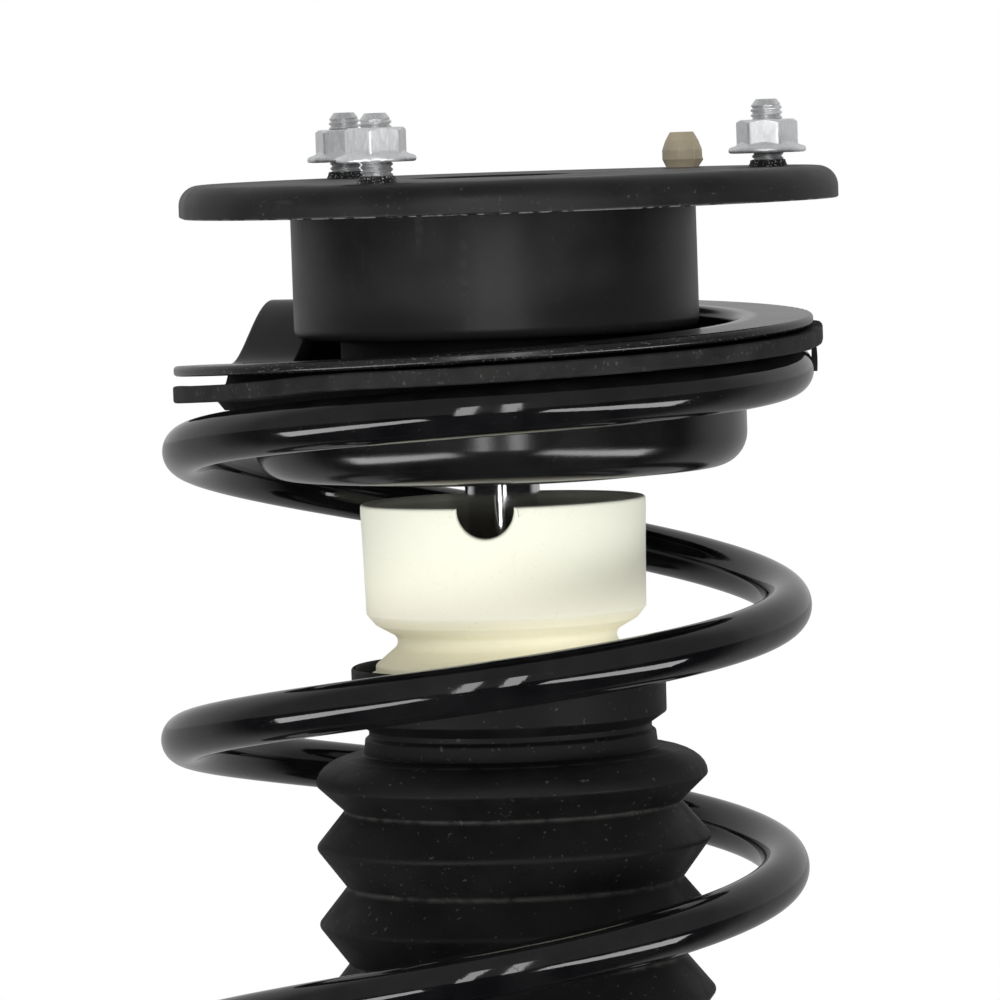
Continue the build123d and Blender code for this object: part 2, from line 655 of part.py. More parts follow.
# ---- rod and piston ---------------------------------------------------------------------------
def piston_rod():
    """Ground rod with a threaded top for the mount and a stepped end for the piston."""
    end = PISTON_TOP - PISTON - PISTON_NUT - 1.5
    return turned(
        (0, end), (JOURNAL_R, end), (JOURNAL_R, JOURNAL_TOP), (ROD_R, JOURNAL_TOP),
        (ROD_R, ROD_SHOULDER), (ROD_THREAD_R, ROD_SHOULDER), (ROD_THREAD_R, ROD_TOP - 1.2),
        (ROD_THREAD_R - 1.2, ROD_TOP), (0, ROD_TOP),
    )


GUIDE_TOP = TUBE_TOP - TUBE_LIP - SEAL
GUIDE_FOOT = GUIDE_TOP - GUIDE - GUIDE_SPIGOT


def rebound_stop():
    """Ring fixed on the rod that meets the guide at full extension."""
    top = GUIDE_FOOT - SEAT
    return ring(ROD_R + BOND, STOP_R, top - STOP, top)


def valve_shims():
    """Thin discs that cover the piston's ports."""
    return ring(JOURNAL_R + BOND, SHIM_R, PISTON_TOP, JOURNAL_TOP)


def piston():
    """Piston with a groove for its band."""
    body = ring(JOURNAL_R + BOND, PISTON_R, PISTON_TOP - PISTON, PISTON_TOP)
    groove_low = PISTON_TOP - (PISTON + BAND) / 2
    return body - ring(PISTON_R - BAND_DEPTH, PISTON_R + 1, groove_low, groove_low + BAND)


def piston_band():
    """Slippery band that runs in the cylinder."""
    low = PISTON_TOP - (PISTON + BAND) / 2
    return ring(PISTON_R - BAND_DEPTH + BOND, CYLINDER_BORE_R - RUN, low, low + BAND)


def piston_nut():
    """Nut that holds the piston on the rod."""
    top = PISTON_TOP - PISTON
    low = top - PISTON_NUT
    return hexagon(PISTON_NUT_FLATS, low, top) - ring(0, JOURNAL_R + BOND, low, top)


# ---- damper tube ------------------------------------------------------------------------------
def strut_tube():
    """Outer tube, rolled in at the top to hold the seal and the guide."""
    inner = TUBE_R - TUBE_GAUGE
    return turned(
        (TUBE_R, TUBE_BOTTOM), (TUBE_R, TUBE_TOP), (TUBE_LIP_IN_R, TUBE_TOP),
        (TUBE_LIP_IN_R, TUBE_TOP - TUBE_LIP), (inner, TUBE_TOP - TUBE_LIP), (inner, TUBE_BOTTOM),
    )


def striker_cap():
    """Pressed cap over the tube's top, which the bump stop lands on."""
    inner = TUBE_R + BOND
    outer = inner + CAP_WALL
    return turned(
        (CAP_HOLE_R, TUBE_TOP), (CAP_HOLE_R, TUBE_TOP + CAP_GAUGE), (outer, TUBE_TOP + CAP_GAUGE),
        (outer, TUBE_TOP - CAP_SKIRT), (inner, TUBE_TOP - CAP_SKIRT), (inner, TUBE_TOP),
    )


def oil_seal():
    """Seal round the rod, held under the tube's rolled lip."""
    return ring(ROD_R + RUN, TUBE_R - TUBE_GAUGE - BOND, GUIDE_TOP, GUIDE_TOP + SEAL)


def rod_guide():
    """Guide that closes the tube and centres the rod and the cylinder."""
    bush = ROD_R + RUN + BUSH_WALL + BOND
    low = GUIDE_TOP - GUIDE
    return turned(
        (bush, GUIDE_FOOT), (CYLINDER_BORE_R - BOND, GUIDE_FOOT), (CYLINDER_BORE_R - BOND, low),
        (TUBE_R - TUBE_GAUGE - BOND, low), (TUBE_R - TUBE_GAUGE - BOND, GUIDE_TOP), (bush, GUIDE_TOP),
    )


def guide_bush():
    """Bearing bush inside the guide."""
    return ring(ROD_R + RUN, ROD_R + RUN + BUSH_WALL, GUIDE_FOOT, GUIDE_TOP)


def pressure_tube():
    """Inner cylinder that the piston runs in."""
    low = TUBE_BOTTOM + END_CAP + VALVE
    return ring(CYLINDER_BORE_R, CYLINDER_BORE_R + CYLINDER_WALL, low, GUIDE_TOP - GUIDE)


def base_valve():
    """Valve at the foot of the cylinder, seated on the end cap."""
    low = TUBE_BOTTOM + END_CAP
    top = low + VALVE
    return turned(
        (0, low + 3), (8, low + 3), (11, low), (21, low), (21, low + 4), (CYLINDER_BORE_R + 3, top),
        (CYLINDER_BORE_R - BOND, top), (CYLINDER_BORE_R - BOND, top + 4), (0, top + 4),
    )


def tube_end_cap():
    """Dished cap welded into the tube's lower end."""
    return turned(
        (0, TUBE_BOTTOM - 2), (TUBE_R - 6, TUBE_BOTTOM - 4), (TUBE_R - 1, TUBE_BOTTOM - 4),
        (TUBE_R, TUBE_BOTTOM - 3), (TUBE_R, TUBE_BOTTOM), (TUBE_R - TUBE_GAUGE - BOND, TUBE_BOTTOM),
        (TUBE_R - TUBE_GAUGE - BOND, TUBE_BOTTOM + END_CAP), (0, TUBE_BOTTOM + END_CAP),
    )


# ---- lower spring seat ------------------------------------------------------------------------
def spring_foot(fall):
    """Frame at the spring's lower end: its Z looks back up the spring's axis."""
    return Plane(origin=SPRING_HEAD + SPRING_DOWN * fall, x_dir=SPRING_ACROSS, z_dir=SPRING_DOWN * -1)


SEAT_FALL = wire_fall(WIRE_END_TURN) + WIRE_R + SEAT + LOWER_ISOLATOR


def lower_isolator():
    """Rubber ring under the wire's lower end."""
    outer = LOWER_SEAT_R - LOWER_SEAT_GAUGE - FREE
    pad = ring(LOWER_SEAT_PILOT_R + FREE, outer, 0, LOWER_ISOLATOR)
    return spring_foot(SEAT_FALL).location * pad


def lower_spring_seat():
    """Pressed pan welded round the tube, square to the spring and off the tube's centre."""
    gauge, lip, pilot = LOWER_SEAT_GAUGE, LOWER_SEAT_LIP, LOWER_SEAT_PILOT_R
    pan = turned(
        (0, 3), (pilot - 8, 3), (pilot - 4, 5), (pilot, 5), (pilot, 0), (LOWER_SEAT_R - gauge, 0),
        (LOWER_SEAT_R - gauge, lip), (LOWER_SEAT_R, lip), (LOWER_SEAT_R, -gauge),
        (pilot - 4, -gauge), (pilot - 8, 3 - gauge), (0, 3 - gauge),
    )
    pan = spring_foot(SEAT_FALL).location * pan
    centre = spring_foot(SEAT_FALL).origin.Z
    hub = ring(0, TUBE_R + BOND + HUB_WALL, centre - HUB, centre + 2)
    return pan + hub - ring(0, TUBE_R + BOND, centre - 2 * HUB, centre + HUB)


# ---- brackets ---------------------------------------------------------------------------------
def saddle(gauge, half_width, low, high, way):
    """Part of a ring round the tube, facing the angle way, between two heights."""
    inner = TUBE_R + BOND
    strap = ring(inner, inner + gauge, low, high)
    keep = Pos(2 * TUBE_R, 0, (low + high) / 2) * Box(4 * TUBE_R, 2 * half_width, high - low)
    return Rot(0, 0, way) * (strap & keep)


def knuckle_bracket():
    """Clevis that wraps the tube; the knuckle's ear goes between its two cheeks."""
    gap, gauge = KNUCKLE_GAP / 2, KNUCKLE_GAUGE
    inner = TUBE_R + BOND
    low, high = KNUCKLE_BOTTOM, KNUCKLE_TOP
    strap = ring(inner, inner + gauge, low, high)
    strap -= Pos(-TUBE_R, 0, (low + high) / 2) * Box(2 * TUBE_R, KNUCKLE_GAP, high - low)
    cheek = Polyline(
        (-KNUCKLE_REACH, low), (-gap, low), (-gap, high), (-KNUCKLE_REACH + KNUCKLE_TAPER, high),
        (-KNUCKLE_REACH, high - 2 * KNUCKLE_TAPER), close=True,
    )
    cheeks = extrude(Plane.XZ * make_face(cheek), KNUCKLE_GAP / 2 + gauge, both=True)
    corners = cheeks.edges().filter_by(Axis.Y).filter_by(lambda edge: edge.center().X < -gap - 1)
    cheeks = fillet(corners, KNUCKLE_CORNER_R)
    cheeks -= Pos(0, 0, (low + high) / 2) * Box(4 * KNUCKLE_REACH, KNUCKLE_GAP, high - low)
    cheeks -= ring(0, inner, low, high)
    bracket = strap + cheeks
    for i in range(2):
        place = Pos(KNUCKLE_BOLT_X, 0, KNUCKLE_BOLT_Z - KNUCKLE_BOLT_STEP * i)
        bracket -= place * Rot(90, 0, 0) * Cylinder(KNUCKLE_BOLT_R, 4 * KNUCKLE_GAP)
    return bracket


def link_bracket():
    """Upright tab for the anti-roll bar's link, on a saddle at the front of the tube."""
    low, high = LINK_Z - LINK_HEIGHT / 2, LINK_Z + LINK_HEIGHT / 2
    strap = saddle(SADDLE_GAUGE, TUBE_R * 0.8, low, high, -90)
    start = TUBE_R + BOND + SADDLE_GAUGE / 2
    tab = Pos(0, -(start + LINK_REACH) / 2, LINK_Z) * Box(LINK_GAUGE, LINK_REACH - start, LINK_HEIGHT)
    ends = tab.edges().filter_by(Axis.X).sort_by(Axis.Y)[:2]
    tab = fillet(ends, LINK_HEIGHT / 3)
    hole = Pos(0, -LINK_HOLE_REACH, LINK_Z) * Rot(0, 90, 0) * Cylinder(LINK_HOLE_R, 4 * LINK_GAUGE)
    return strap + tab - hole


def hose_bracket():
    """Flat tab that holds the brake hose, on a short saddle at the side of the tube."""
    way = 40.0
    strap = saddle(HOSE_GAUGE, HOSE_WIDTH / 2, HOSE_Z - 8, HOSE_Z + 8, way)
    start = TUBE_R + BOND + HOSE_GAUGE / 2
    tab = Pos((start + HOSE_REACH) / 2, 0, HOSE_Z) * Box(HOSE_REACH - start, HOSE_WIDTH, HOSE_GAUGE)
    tab = fillet(tab.edges().filter_by(Axis.Z).sort_by(Axis.X)[-2:], HOSE_WIDTH / 3)
    hole = Pos(HOSE_HOLE_REACH, 0, HOSE_Z) * Cylinder(HOSE_HOLE_R, 4 * HOSE_GAUGE)
    return strap + Rot(0, 0, way) * (tab - hole)


NODES = {
    "mount_plate": mount_plate,
    "mount_studs": mount_studs,
    "flange_nuts": flange_nuts,
    "locating_pin": locating_pin,
    "mount_can": mount_can,
    "mount_rubber": mount_rubber,
    "mount_sleeve": mount_sleeve,
    "rod_washer": rod_washer,
    "rod_nut": rod_nut,
    "bearing_upper_race": bearing_upper_race,
    "bearing_cage": bearing_cage,
    "bearing_balls": bearing_balls,
    "bearing_lower_race": bearing_lower_race,
    "upper_spring_seat": upper_spring_seat,
    "upper_isolator": upper_isolator,
    "coil_spring": coil_spring,
    "bump_stop": bump_stop,
    "dust_boot": dust_boot,
    "piston_rod": piston_rod,
    "rebound_stop": rebound_stop,
    "valve_shims": valve_shims,
    "piston": piston,
    "piston_band": piston_band,
    "piston_nut": piston_nut,
    "strut_tube": strut_tube,
    "striker_cap": striker_cap,
    "oil_seal": oil_seal,
    "rod_guide": rod_guide,
    "guide_bush": guide_bush,
    "pressure_tube": pressure_tube,
    "base_valve": base_valve,
    "tube_end_cap": tube_end_cap,
    "lower_spring_seat": lower_spring_seat,
    "lower_isolator": lower_isolator,
    "knuckle_bracket": knuckle_bracket,
    "link_bracket": link_bracket,
    "hose_bracket": hose_bracket,
}

os.makedirs("parts", exist_ok=True)
for name, maker in NODES.items():
    export_step(maker(), f"parts/{name}.step")
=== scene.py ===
"""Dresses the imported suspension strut: paint, rubber, zinc and chrome, and the shapes that show them.

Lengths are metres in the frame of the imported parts: Z runs up the strut, and the origin is on the strut's
axis in the mount plate's top face. Shapes are surfaces worked out as whole numpy arrays.
"""
import json

import bmesh
import bpy
import numpy as np
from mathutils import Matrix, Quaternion, Vector

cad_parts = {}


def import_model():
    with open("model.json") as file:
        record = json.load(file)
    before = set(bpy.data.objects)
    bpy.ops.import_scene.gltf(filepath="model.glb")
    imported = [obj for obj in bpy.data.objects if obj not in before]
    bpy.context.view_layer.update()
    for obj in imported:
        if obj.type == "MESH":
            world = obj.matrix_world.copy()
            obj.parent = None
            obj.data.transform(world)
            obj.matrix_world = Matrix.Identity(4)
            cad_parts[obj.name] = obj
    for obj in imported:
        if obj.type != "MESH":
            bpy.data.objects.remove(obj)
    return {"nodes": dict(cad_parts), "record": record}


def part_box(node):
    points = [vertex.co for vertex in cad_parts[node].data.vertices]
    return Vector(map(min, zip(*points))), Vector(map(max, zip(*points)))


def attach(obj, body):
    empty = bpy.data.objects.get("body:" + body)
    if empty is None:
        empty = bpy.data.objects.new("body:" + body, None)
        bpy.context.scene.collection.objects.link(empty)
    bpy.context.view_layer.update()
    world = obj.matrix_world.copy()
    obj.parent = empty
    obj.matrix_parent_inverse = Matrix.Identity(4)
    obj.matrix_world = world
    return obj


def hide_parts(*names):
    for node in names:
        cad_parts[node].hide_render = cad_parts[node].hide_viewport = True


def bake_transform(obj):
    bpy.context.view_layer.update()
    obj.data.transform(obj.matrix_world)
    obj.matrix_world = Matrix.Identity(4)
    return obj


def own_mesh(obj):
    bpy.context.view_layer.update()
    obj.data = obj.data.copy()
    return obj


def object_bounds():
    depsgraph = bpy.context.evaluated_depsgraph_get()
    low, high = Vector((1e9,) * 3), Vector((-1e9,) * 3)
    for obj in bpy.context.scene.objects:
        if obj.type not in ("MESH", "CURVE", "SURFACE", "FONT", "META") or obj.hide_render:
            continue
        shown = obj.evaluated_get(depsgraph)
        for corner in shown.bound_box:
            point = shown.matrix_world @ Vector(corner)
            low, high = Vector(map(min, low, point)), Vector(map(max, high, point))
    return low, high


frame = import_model()
cad_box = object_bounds()

MM = 0.001
TAU = 2 * np.pi


# ---- shapes -----------------------------------------------------------------------------------
def make_mesh(name, points, faces, share=None):
    """A mesh object from an (n, 3) array of points and an (m, 4) array of corner numbers. A share, one number
    for each point, is stored on the mesh."""
    mesh = bpy.data.meshes.new(name)
    mesh.from_pydata(points.tolist(), [], faces.tolist())
    if share is not None:
        mesh.attributes.new("share", "FLOAT", "POINT").data.foreach_set("value", share.astype(np.float32))
    shape = bmesh.new()
    shape.from_mesh(mesh)
    bmesh.ops.remove_doubles(shape, verts=shape.verts, dist=1e-7)
    bmesh.ops.dissolve_degenerate(shape, edges=shape.edges, dist=1e-8)
    bmesh.ops.recalc_face_normals(shape, faces=shape.faces)
    shape.to_mesh(mesh)
    shape.free()
    mesh.shade_smooth()
    mesh.set_sharp_from_angle(angle=np.radians(38))
    piece = bpy.data.objects.new(name, mesh)
    bpy.context.scene.collection.objects.link(piece)
    return piece


def grid_faces(rows, columns, ring_rows):
    """Corner numbers of a grid's quads. Each row is a ring; ring_rows joins the last row to the first too."""
    row = np.arange(rows if ring_rows else rows - 1)[:, None]
    column = np.arange(columns)[None, :]
    below, right = (row + 1) % rows, (column + 1) % columns
    corners = [row * columns + column, row * columns + right, below * columns + right, below * columns + column]
    return np.stack(corners, axis=-1).reshape(-1, 4)


def surface(name, points, ring_rows=False, share=None):
    """A mesh over an array of points indexed [row, column, xyz]."""
    faces = grid_faces(*points.shape[:2], ring_rows)
    return make_mesh(name, points.reshape(-1, 3), faces, share)


def stacked(x, y, z):
    """An array of points from coordinates that broadcast together."""
    return np.stack(np.broadcast_arrays(x, y, z), axis=-1)


def unit(way):
    """The same directions with length 1."""
    return way / np.linalg.norm(way, axis=-1, keepdims=True)


def rounded(outline, steps=6, strip=0.25 * MM):
    """Closed outline through rows of (radius, height, corner radius) in millimetres. Each corner becomes an
    arc, with a narrow strip on both sides of it that keeps the flats next to it flat in the shading."""
    rows = np.array(outline, float) * MM
    path = []
    for before, here, after in zip(np.roll(rows, 1, axis=0), rows, np.roll(rows, -1, axis=0)):
        corner, radius = here[:2], here[2]
        if radius == 0:
            path.append(corner[None])
            continue
        back, forth = unit(before[:2] - corner), unit(after[:2] - corner)
        half = np.arccos(np.clip(back @ forth, -1, 1)) / 2
        centre = corner + unit(back + forth) * radius / np.sin(half)
        first, last = corner + back * radius / np.tan(half), corner + forth * radius / np.tan(half)
        span, turn = np.pi - 2 * half, np.linspace(0, 1, steps + 1)[:, None]
        arc = (first - centre) * np.sin((1 - turn) * span) + (last - centre) * np.sin(turn * span)
        path += [(first + back * strip)[None], centre + arc / np.sin(span), (last + forth * strip)[None]]
    return np.concatenate(path)


def circle_angles(columns):
    """Angles of a ring's columns."""
    return np.linspace(0, TAU, columns, endpoint=False)


def round_axis(radius, angle, height, centre=(0.0, 0.0)):
    """Points about an upright axis through the centre: x = r cos a, y = r sin a."""
    return stacked(centre[0] + radius * np.cos(angle), centre[1] + radius * np.sin(angle), height)


def turned(name, outline, columns):
    """A closed outline of (radius, height) turned about the strut's axis."""
    points = round_axis(outline[:, 0, None], circle_angles(columns), outline[:, 1, None])
    return surface(name, points, ring_rows=True)


def capped(points):
    """Rows of points, closed at both ends by a row that lies wholly in the middle of its neighbour."""
    middles = np.broadcast_to(points.mean(axis=1, keepdims=True), points.shape)
    return np.concatenate([middles[:1], points, middles[-1:]])


def smooth(share):
    """The smooth step from 0 to 1."""
    share = np.clip(share, 0, 1)
    return share * share * (3 - 2 * share)


def bell(value, middle, width):
    """1 at the middle, and exp(-((value - middle) / width)^2) on both sides of it."""
    return np.exp(-(((value - middle) / width) ** 2))


BODIES = {node: body for body, nodes in frame["record"]["behaviour"]["bodies"].items() for node in nodes}


def dress(piece, finish, *nodes, rides_apart=False):
    """Gives a piece its material, hides the solids it stands for, and lets it ride with them."""
    piece.data.materials.append(finish)
    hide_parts(*nodes)
    if not rides_apart:
        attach(piece, BODIES[nodes[0]])
    return piece


def ride_as(piece, finish, body):
    """A piece that stands for no solid of its own."""
    piece.data.materials.append(finish)
    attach(piece, body)
    return piece


# ---- mount plate ------------------------------------------------------------------------------
STUD_X = 1.6 * MM
STUD_CIRCLE_R = 80 * MM
STUD_TURNS = np.radians([4.8, 124.8, 244.8])
PLATE_CORNER_R = 86.46 * MM
PLATE_CORNER_OUT = 13.4 * MM
PLATE_GAUGE = 3.2
PLATE_INWARD = 60
PLATE_OPENING_R = 24


def around_studs(radius, turn):
    """A point on a circle about the studs' centre."""
    return np.array([STUD_X + radius * np.cos(turn), radius * np.sin(turn)])


def plate_rim():
    """Centres and outward directions along the plate's outline: three arcs of 120 degrees, and between them
    straight lines on which the centre slides from one arc's centre to the next."""
    centres, turns = [], []
    for here, following in zip(STUD_TURNS, np.roll(STUD_TURNS, -1)):
        sweep = here + np.radians(np.linspace(-60, 60, 49))
        start, end = around_studs(PLATE_CORNER_OUT, here), around_studs(PLATE_CORNER_OUT, following)
        slide = np.linspace(0, 1, 10)[1:-1, None]
        centres += [np.tile(start, (len(sweep), 1)), start + (end - start) * slide]
        turns += [sweep, np.full(len(slide), sweep[-1])]
    turns = np.concatenate(turns)
    return np.concatenate(centres), np.stack([np.cos(turns), np.sin(turns)], axis=1)


def mount_plate(finish):
    """Rim section carried round plate_rim: a point lies at centre + (corner radius - inset) x direction. The
    rows of the opening lie on a circle about the strut's axis instead."""
    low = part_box("mount_plate")[0].z / MM
    section = rounded([
        (0, 0, 6), (0, low, 0.7), (PLATE_GAUGE, low, 0.7), (PLATE_GAUGE, -PLATE_GAUGE, 4),
        (PLATE_INWARD, -PLATE_GAUGE, 0.5), (PLATE_INWARD, 0, 0.5),
    ], steps=9)
    centres, ways = plate_rim()
    inset, height = section[:, 0, None, None], section[:, 1, None]
    rim = centres + (PLATE_CORNER_R - inset) * ways
    hole = unit(rim[0]) * ((PLATE_OPENING_R + PLATE_INWARD) * MM - inset)
    flat = np.where(inset > PLATE_INWARD / 2 * MM, hole, rim)
    piece = surface("plate_shell", stacked(flat[..., 0], flat[..., 1], height), ring_rows=True)
    return dress(piece, finish, "mount_plate")


# ---- studs, nuts, pin -------------------------------------------------------------------------
THREAD_PITCH = 1.5 * MM
THREAD_R = 4.66 * MM
THREAD_DEPTH = 0.62 * MM
THREAD_FOOT = 2.1 * MM
NUT_HEIGHT = 9.8 * MM
NUT_HALF_WIDTH = 8 * MM
NUT_ROUNDING = 44
NUT_LOWS = np.array([4.0, 4.9, 5.9]) * MM
NUT_TURNS = np.radians([-100, -103, -70])


def stud(name, centre, finish):
    """Round head, flared base with fine ridges, then a thread: its radius falls by a rounded triangle wave of
    height / pitch - angle / full turn, and a cone cuts its tip."""
    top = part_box("mount_studs")[1].z
    angle = circle_angles(72)
    base = np.array([(0, -5.8), (7.4, -5.8), (8, -5.2), (8, -3.2), (5.6, -3.2), (5.9, 0), (5.5, 0.5),
                     (5.2, 1.2), (5.05, 1.9), (4.5, 2.05)]) * MM
    climb = np.arange(2.2 * MM, top, THREAD_PITCH / 10)
    height = np.concatenate([base[:, 1], climb, [top, top]])[:, None]
    wave = np.abs((height / THREAD_PITCH - angle / TAU) % 1 - 0.5) * 2
    crest = THREAD_R - THREAD_DEPTH * smooth(wave * 1.15 - 0.1)
    tip = 3.0 * MM + (top - height) * 0.78
    ridges = 0.1 * MM * np.cos(angle * 26) * (height > 0) * (height < 2 * MM)
    plain = np.concatenate([base[:, 0], np.zeros(len(climb)), [0, 0]])[:, None] + ridges
    radius = np.where(height > THREAD_FOOT, np.minimum(crest, tip), plain)
    radius[[0, -1]] = 0
    return dress(surface(name, round_axis(radius, angle, height, centre)), finish, "mount_studs")


def flange_nut(name, centre, low, turn, finish):
    """Radius at each height and angle: the flange's hollow cone where that reaches further out, and above it a
    hexagon of rounded corners, r = a / (sum |cos|^p)^(1/p) over its three axes with p the rounding, cut by a
    cone at the top. The flange's edge is finely notched."""
    angle = circle_angles(192)
    climb = np.concatenate([np.linspace(1.5, 3.6, 12), np.linspace(3.8, 8.6, 9), np.linspace(8.7, 9.8, 8)])
    foot = np.array([(4.7, 0.5), (5.3, 0), (10.6, 0), (11.15, 0.12), (11.4, 0.45), (11.4, 1.05), (11.2, 1.35)])
    crown = np.array([(7.3, 9.8), (5.5, 9.75), (4.7, 9.2)])
    height = np.concatenate([foot[:, 1], climb, crown[:, 1]])[:, None] * MM
    ways = np.abs(np.cos(angle - turn - np.radians([[0], [60], [120]])))
    hexagon = NUT_HALF_WIDTH / (ways**NUT_ROUNDING).sum(axis=0) ** (1 / NUT_ROUNDING)
    cap = 7.75 * MM + (NUT_HEIGHT - height) * 1.6
    cone = 7.4 * MM + 3.75 * MM * np.clip((4.1 * MM - height) / (2.6 * MM), 0, 1) ** 1.8
    body = np.maximum(np.minimum(hexagon, cap), np.where(height < 4.1 * MM, cone, 0))
    plain = np.concatenate([foot[:, 0], np.zeros(len(climb)), crown[:, 0]])[:, None] * MM
    is_body = (height > 1.4 * MM) & (plain == 0)
    radius = np.where(is_body, body, plain)
    radius = radius + 0.09 * MM * np.sin(angle * 11 + turn) * (radius > 10 * MM)
    lift = 0.14 * MM * np.sin(angle * 11 + 1.3 + turn) * (radius > 10 * MM)
    points = round_axis(radius, angle, low + height + np.abs(lift), centre)
    return dress(surface(name, points, ring_rows=True), finish, "flange_nuts")


def locating_pin(finish):
    """Turned pin: narrow at the plate, widest half way up, blunt at the top, with a nib on its right side that
    is a bell over angle times a bell over height."""
    outline = rounded([
        (0, -4.8, 0), (7.5, -4.8, 0.4), (7.5, -3.2, 0.3), (4.9, -3.2, 0), (4.85, 0, 0), (6, 2.4, 0.8),
        (6, 5.2, 1.5), (5.0, 8.0, 3), (3.5, 10.6, 0.5), (0, 10.55, 0),
    ], steps=5)
    angle = circle_angles(96)
    centre = around_studs(STUD_CIRCLE_R, np.radians(45.6))
    radius, height = outline[:, 0, None], outline[:, 1, None]
    nib = bell(angle - TAU * (angle > np.pi), 0, 0.35) * bell(height / MM, 1.9, 0.7)
    radius = radius + 0.5 * MM * nib * (radius > 4 * MM) * (height > 0)
    return dress(surface("pin_moulding", round_axis(radius, angle, height, centre)), finish, "locating_pin")


def mount_can(finish):
    """Housing turned about the strut's axis: welding flange, wide cup, rounded shoulder and narrower neck."""
    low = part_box("mount_can")[0].z / MM
    outline = rounded([
        (68, -3.25, 0), (68, -5.65, 0.8), (59.5, -5.65, 1.5), (59.5, -46, 3), (46, -46, 1.5), (46, low, 1.5),
        (18, low, 0.5), (18, low + 2.4, 0.5), (43.6, low + 2.4, 1), (43.6, -43.6, 1), (57.1, -43.6, 1.2),
        (57.1, -3.25, 0),
    ])
    return dress(turned("can_shell", outline, 200), finish, "mount_can")


# ---- upper spring seat ------------------------------------------------------------------------
RAMP_LOW = -54.3 * MM
RAMP_PITCH = 19 * MM
RAMP_START = 148.5
RAMP_TURN = 347.5
RAMP_GAUGE = 3.0 * MM
CUP_R = 72.5
FLANGE_R = 94


def ramp_top(degrees):
    """Height of the flange's top face: it climbs evenly round the axis and falls back in a smooth step."""
    turned_by = (degrees - RAMP_START) % 360
    climb = RAMP_LOW + RAMP_PITCH * np.minimum(turned_by, RAMP_TURN) / 360
    return climb - RAMP_PITCH * RAMP_TURN / 360 * smooth((turned_by - RAMP_TURN) / (360 - RAMP_TURN))


def upper_seat(finish):
    """Section of the cup and its flange, carried round the axis. The flange's rows rise with ramp_top, and
    thicken on the step so that the metal keeps its gauge; the rows of the cup stay level. The flange's edge
    stands 1.2 mm to the left of centre, and is burred at its right side."""
    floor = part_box("upper_spring_seat")[0].z / MM
    section = rounded([
        (20, floor, 0.6), (44, floor, 30), (CUP_R, floor + 2.4, 10), (CUP_R, floor + 20, 0), (CUP_R, -9, 0),
        (CUP_R, -3, 5), (FLANGE_R, -3, 1.1), (FLANGE_R, 0, 1.1), (70, 0, 3), (70, -9, 0), (70, floor + 20, 0),
        (70, floor + 4.9, 7.5), (44, floor + 2.5, 30), (20, floor + 2.5, 0.6),
    ], steps=10)
    degrees = np.linspace(0, 360, 576, endpoint=False)
    angle = np.radians(degrees)
    radius, height = section[:, 0, None], section[:, 1, None]
    out = np.clip((radius - CUP_R * MM) / ((FLANGE_R - CUP_R) * MM), 0, 1)
    burr = bell(degrees, 15, 9) * (np.sin(degrees * 1.9) + 0.6 * np.sin(degrees * 4.3 + 1))
    radius = radius + out * MM * (-1.2 * np.cos(angle) + 0.3 * burr)
    top = ramp_top(degrees)
    slope = np.gradient(top, angle, edge_order=2) / np.maximum(radius, 70 * MM)
    rising = top + height * np.sqrt(1 + slope**2)
    points = round_axis(radius, angle, np.where(height > -20 * MM, rising, height))
    return dress(surface("seat_shell", points, ring_rows=True), finish, "upper_spring_seat")


# ---- upper isolator ---------------------------------------------------------------------------
ISOLATOR_START = 172.0
ISOLATOR_END = 478.0
STRIP_MIDDLE_R = 84 * MM
TAB_TURN = 362.0


def isolator_gap(degrees):
    """Gap between the flange and the strip, which changes round the axis."""
    return np.interp(degrees, [172, 190, 214, 226, 236, 246, 257, 309, 342, 360, 478],
                     [2.9, 2.8, 2.4, 1.7, 0.8, 0.5, 0.7, 0.95, 0.95, 0.6, 0.3]) * MM


def isolator_top(degrees):
    """Height of the strip's top face."""
    return ramp_top(degrees) - RAMP_GAUGE - isolator_gap(degrees)


def upper_isolator(finish):
    """Strip with an inner lip, carried along isolator_top, a little uneven at its outer edge, with flat ends.
    The lip reaches up to the flange, and down inside the wire."""
    section = rounded([
        (76.6, 0.2, 0.4), (77.6, 0.2, 0.4), (79.6, -0.6, 1.0), (95.7, 0, 0.7), (95.7, -5, 0.9), (82.2, -5, 1.6),
        (79.6, -7.6, 0.6), (76.6, -7.6, 0.6),
    ], steps=4)
    centre = section.mean(axis=0)
    degrees = np.linspace(ISOLATOR_START, ISOLATOR_END, 420)
    angle = np.radians(degrees)[:, None]
    radius, height = section[:, 0] + 0 * angle, section[:, 1] + isolator_top(degrees)[:, None]
    wander = 0.12 * np.sin(degrees * 0.21) + 0.10 * np.sin(degrees * 0.57 + 2)
    ragged = bell(degrees, 367, 8) * np.sin(degrees * 2.6)
    outer = np.clip((radius - STRIP_MIDDLE_R) / (11.7 * MM), 0, 1)
    inner = np.clip((STRIP_MIDDLE_R - radius) / (6 * MM), 0, 1)
    radius = radius + outer * MM * (wander - 0.2 + 0.3 * ragged)[:, None] - inner * 1.4 * MM * np.cos(angle)
    height = height + outer * MM * (0.5 * ragged)[:, None] * (section[:, 1] > centre[1])
    height = height + isolator_gap(degrees)[:, None] * (section[:, 1] > 0.05 * MM) * (inner > 0.5)
    points = capped(round_axis(radius, angle, height))
    return dress(surface("isolator_strip", points), finish, "upper_isolator")


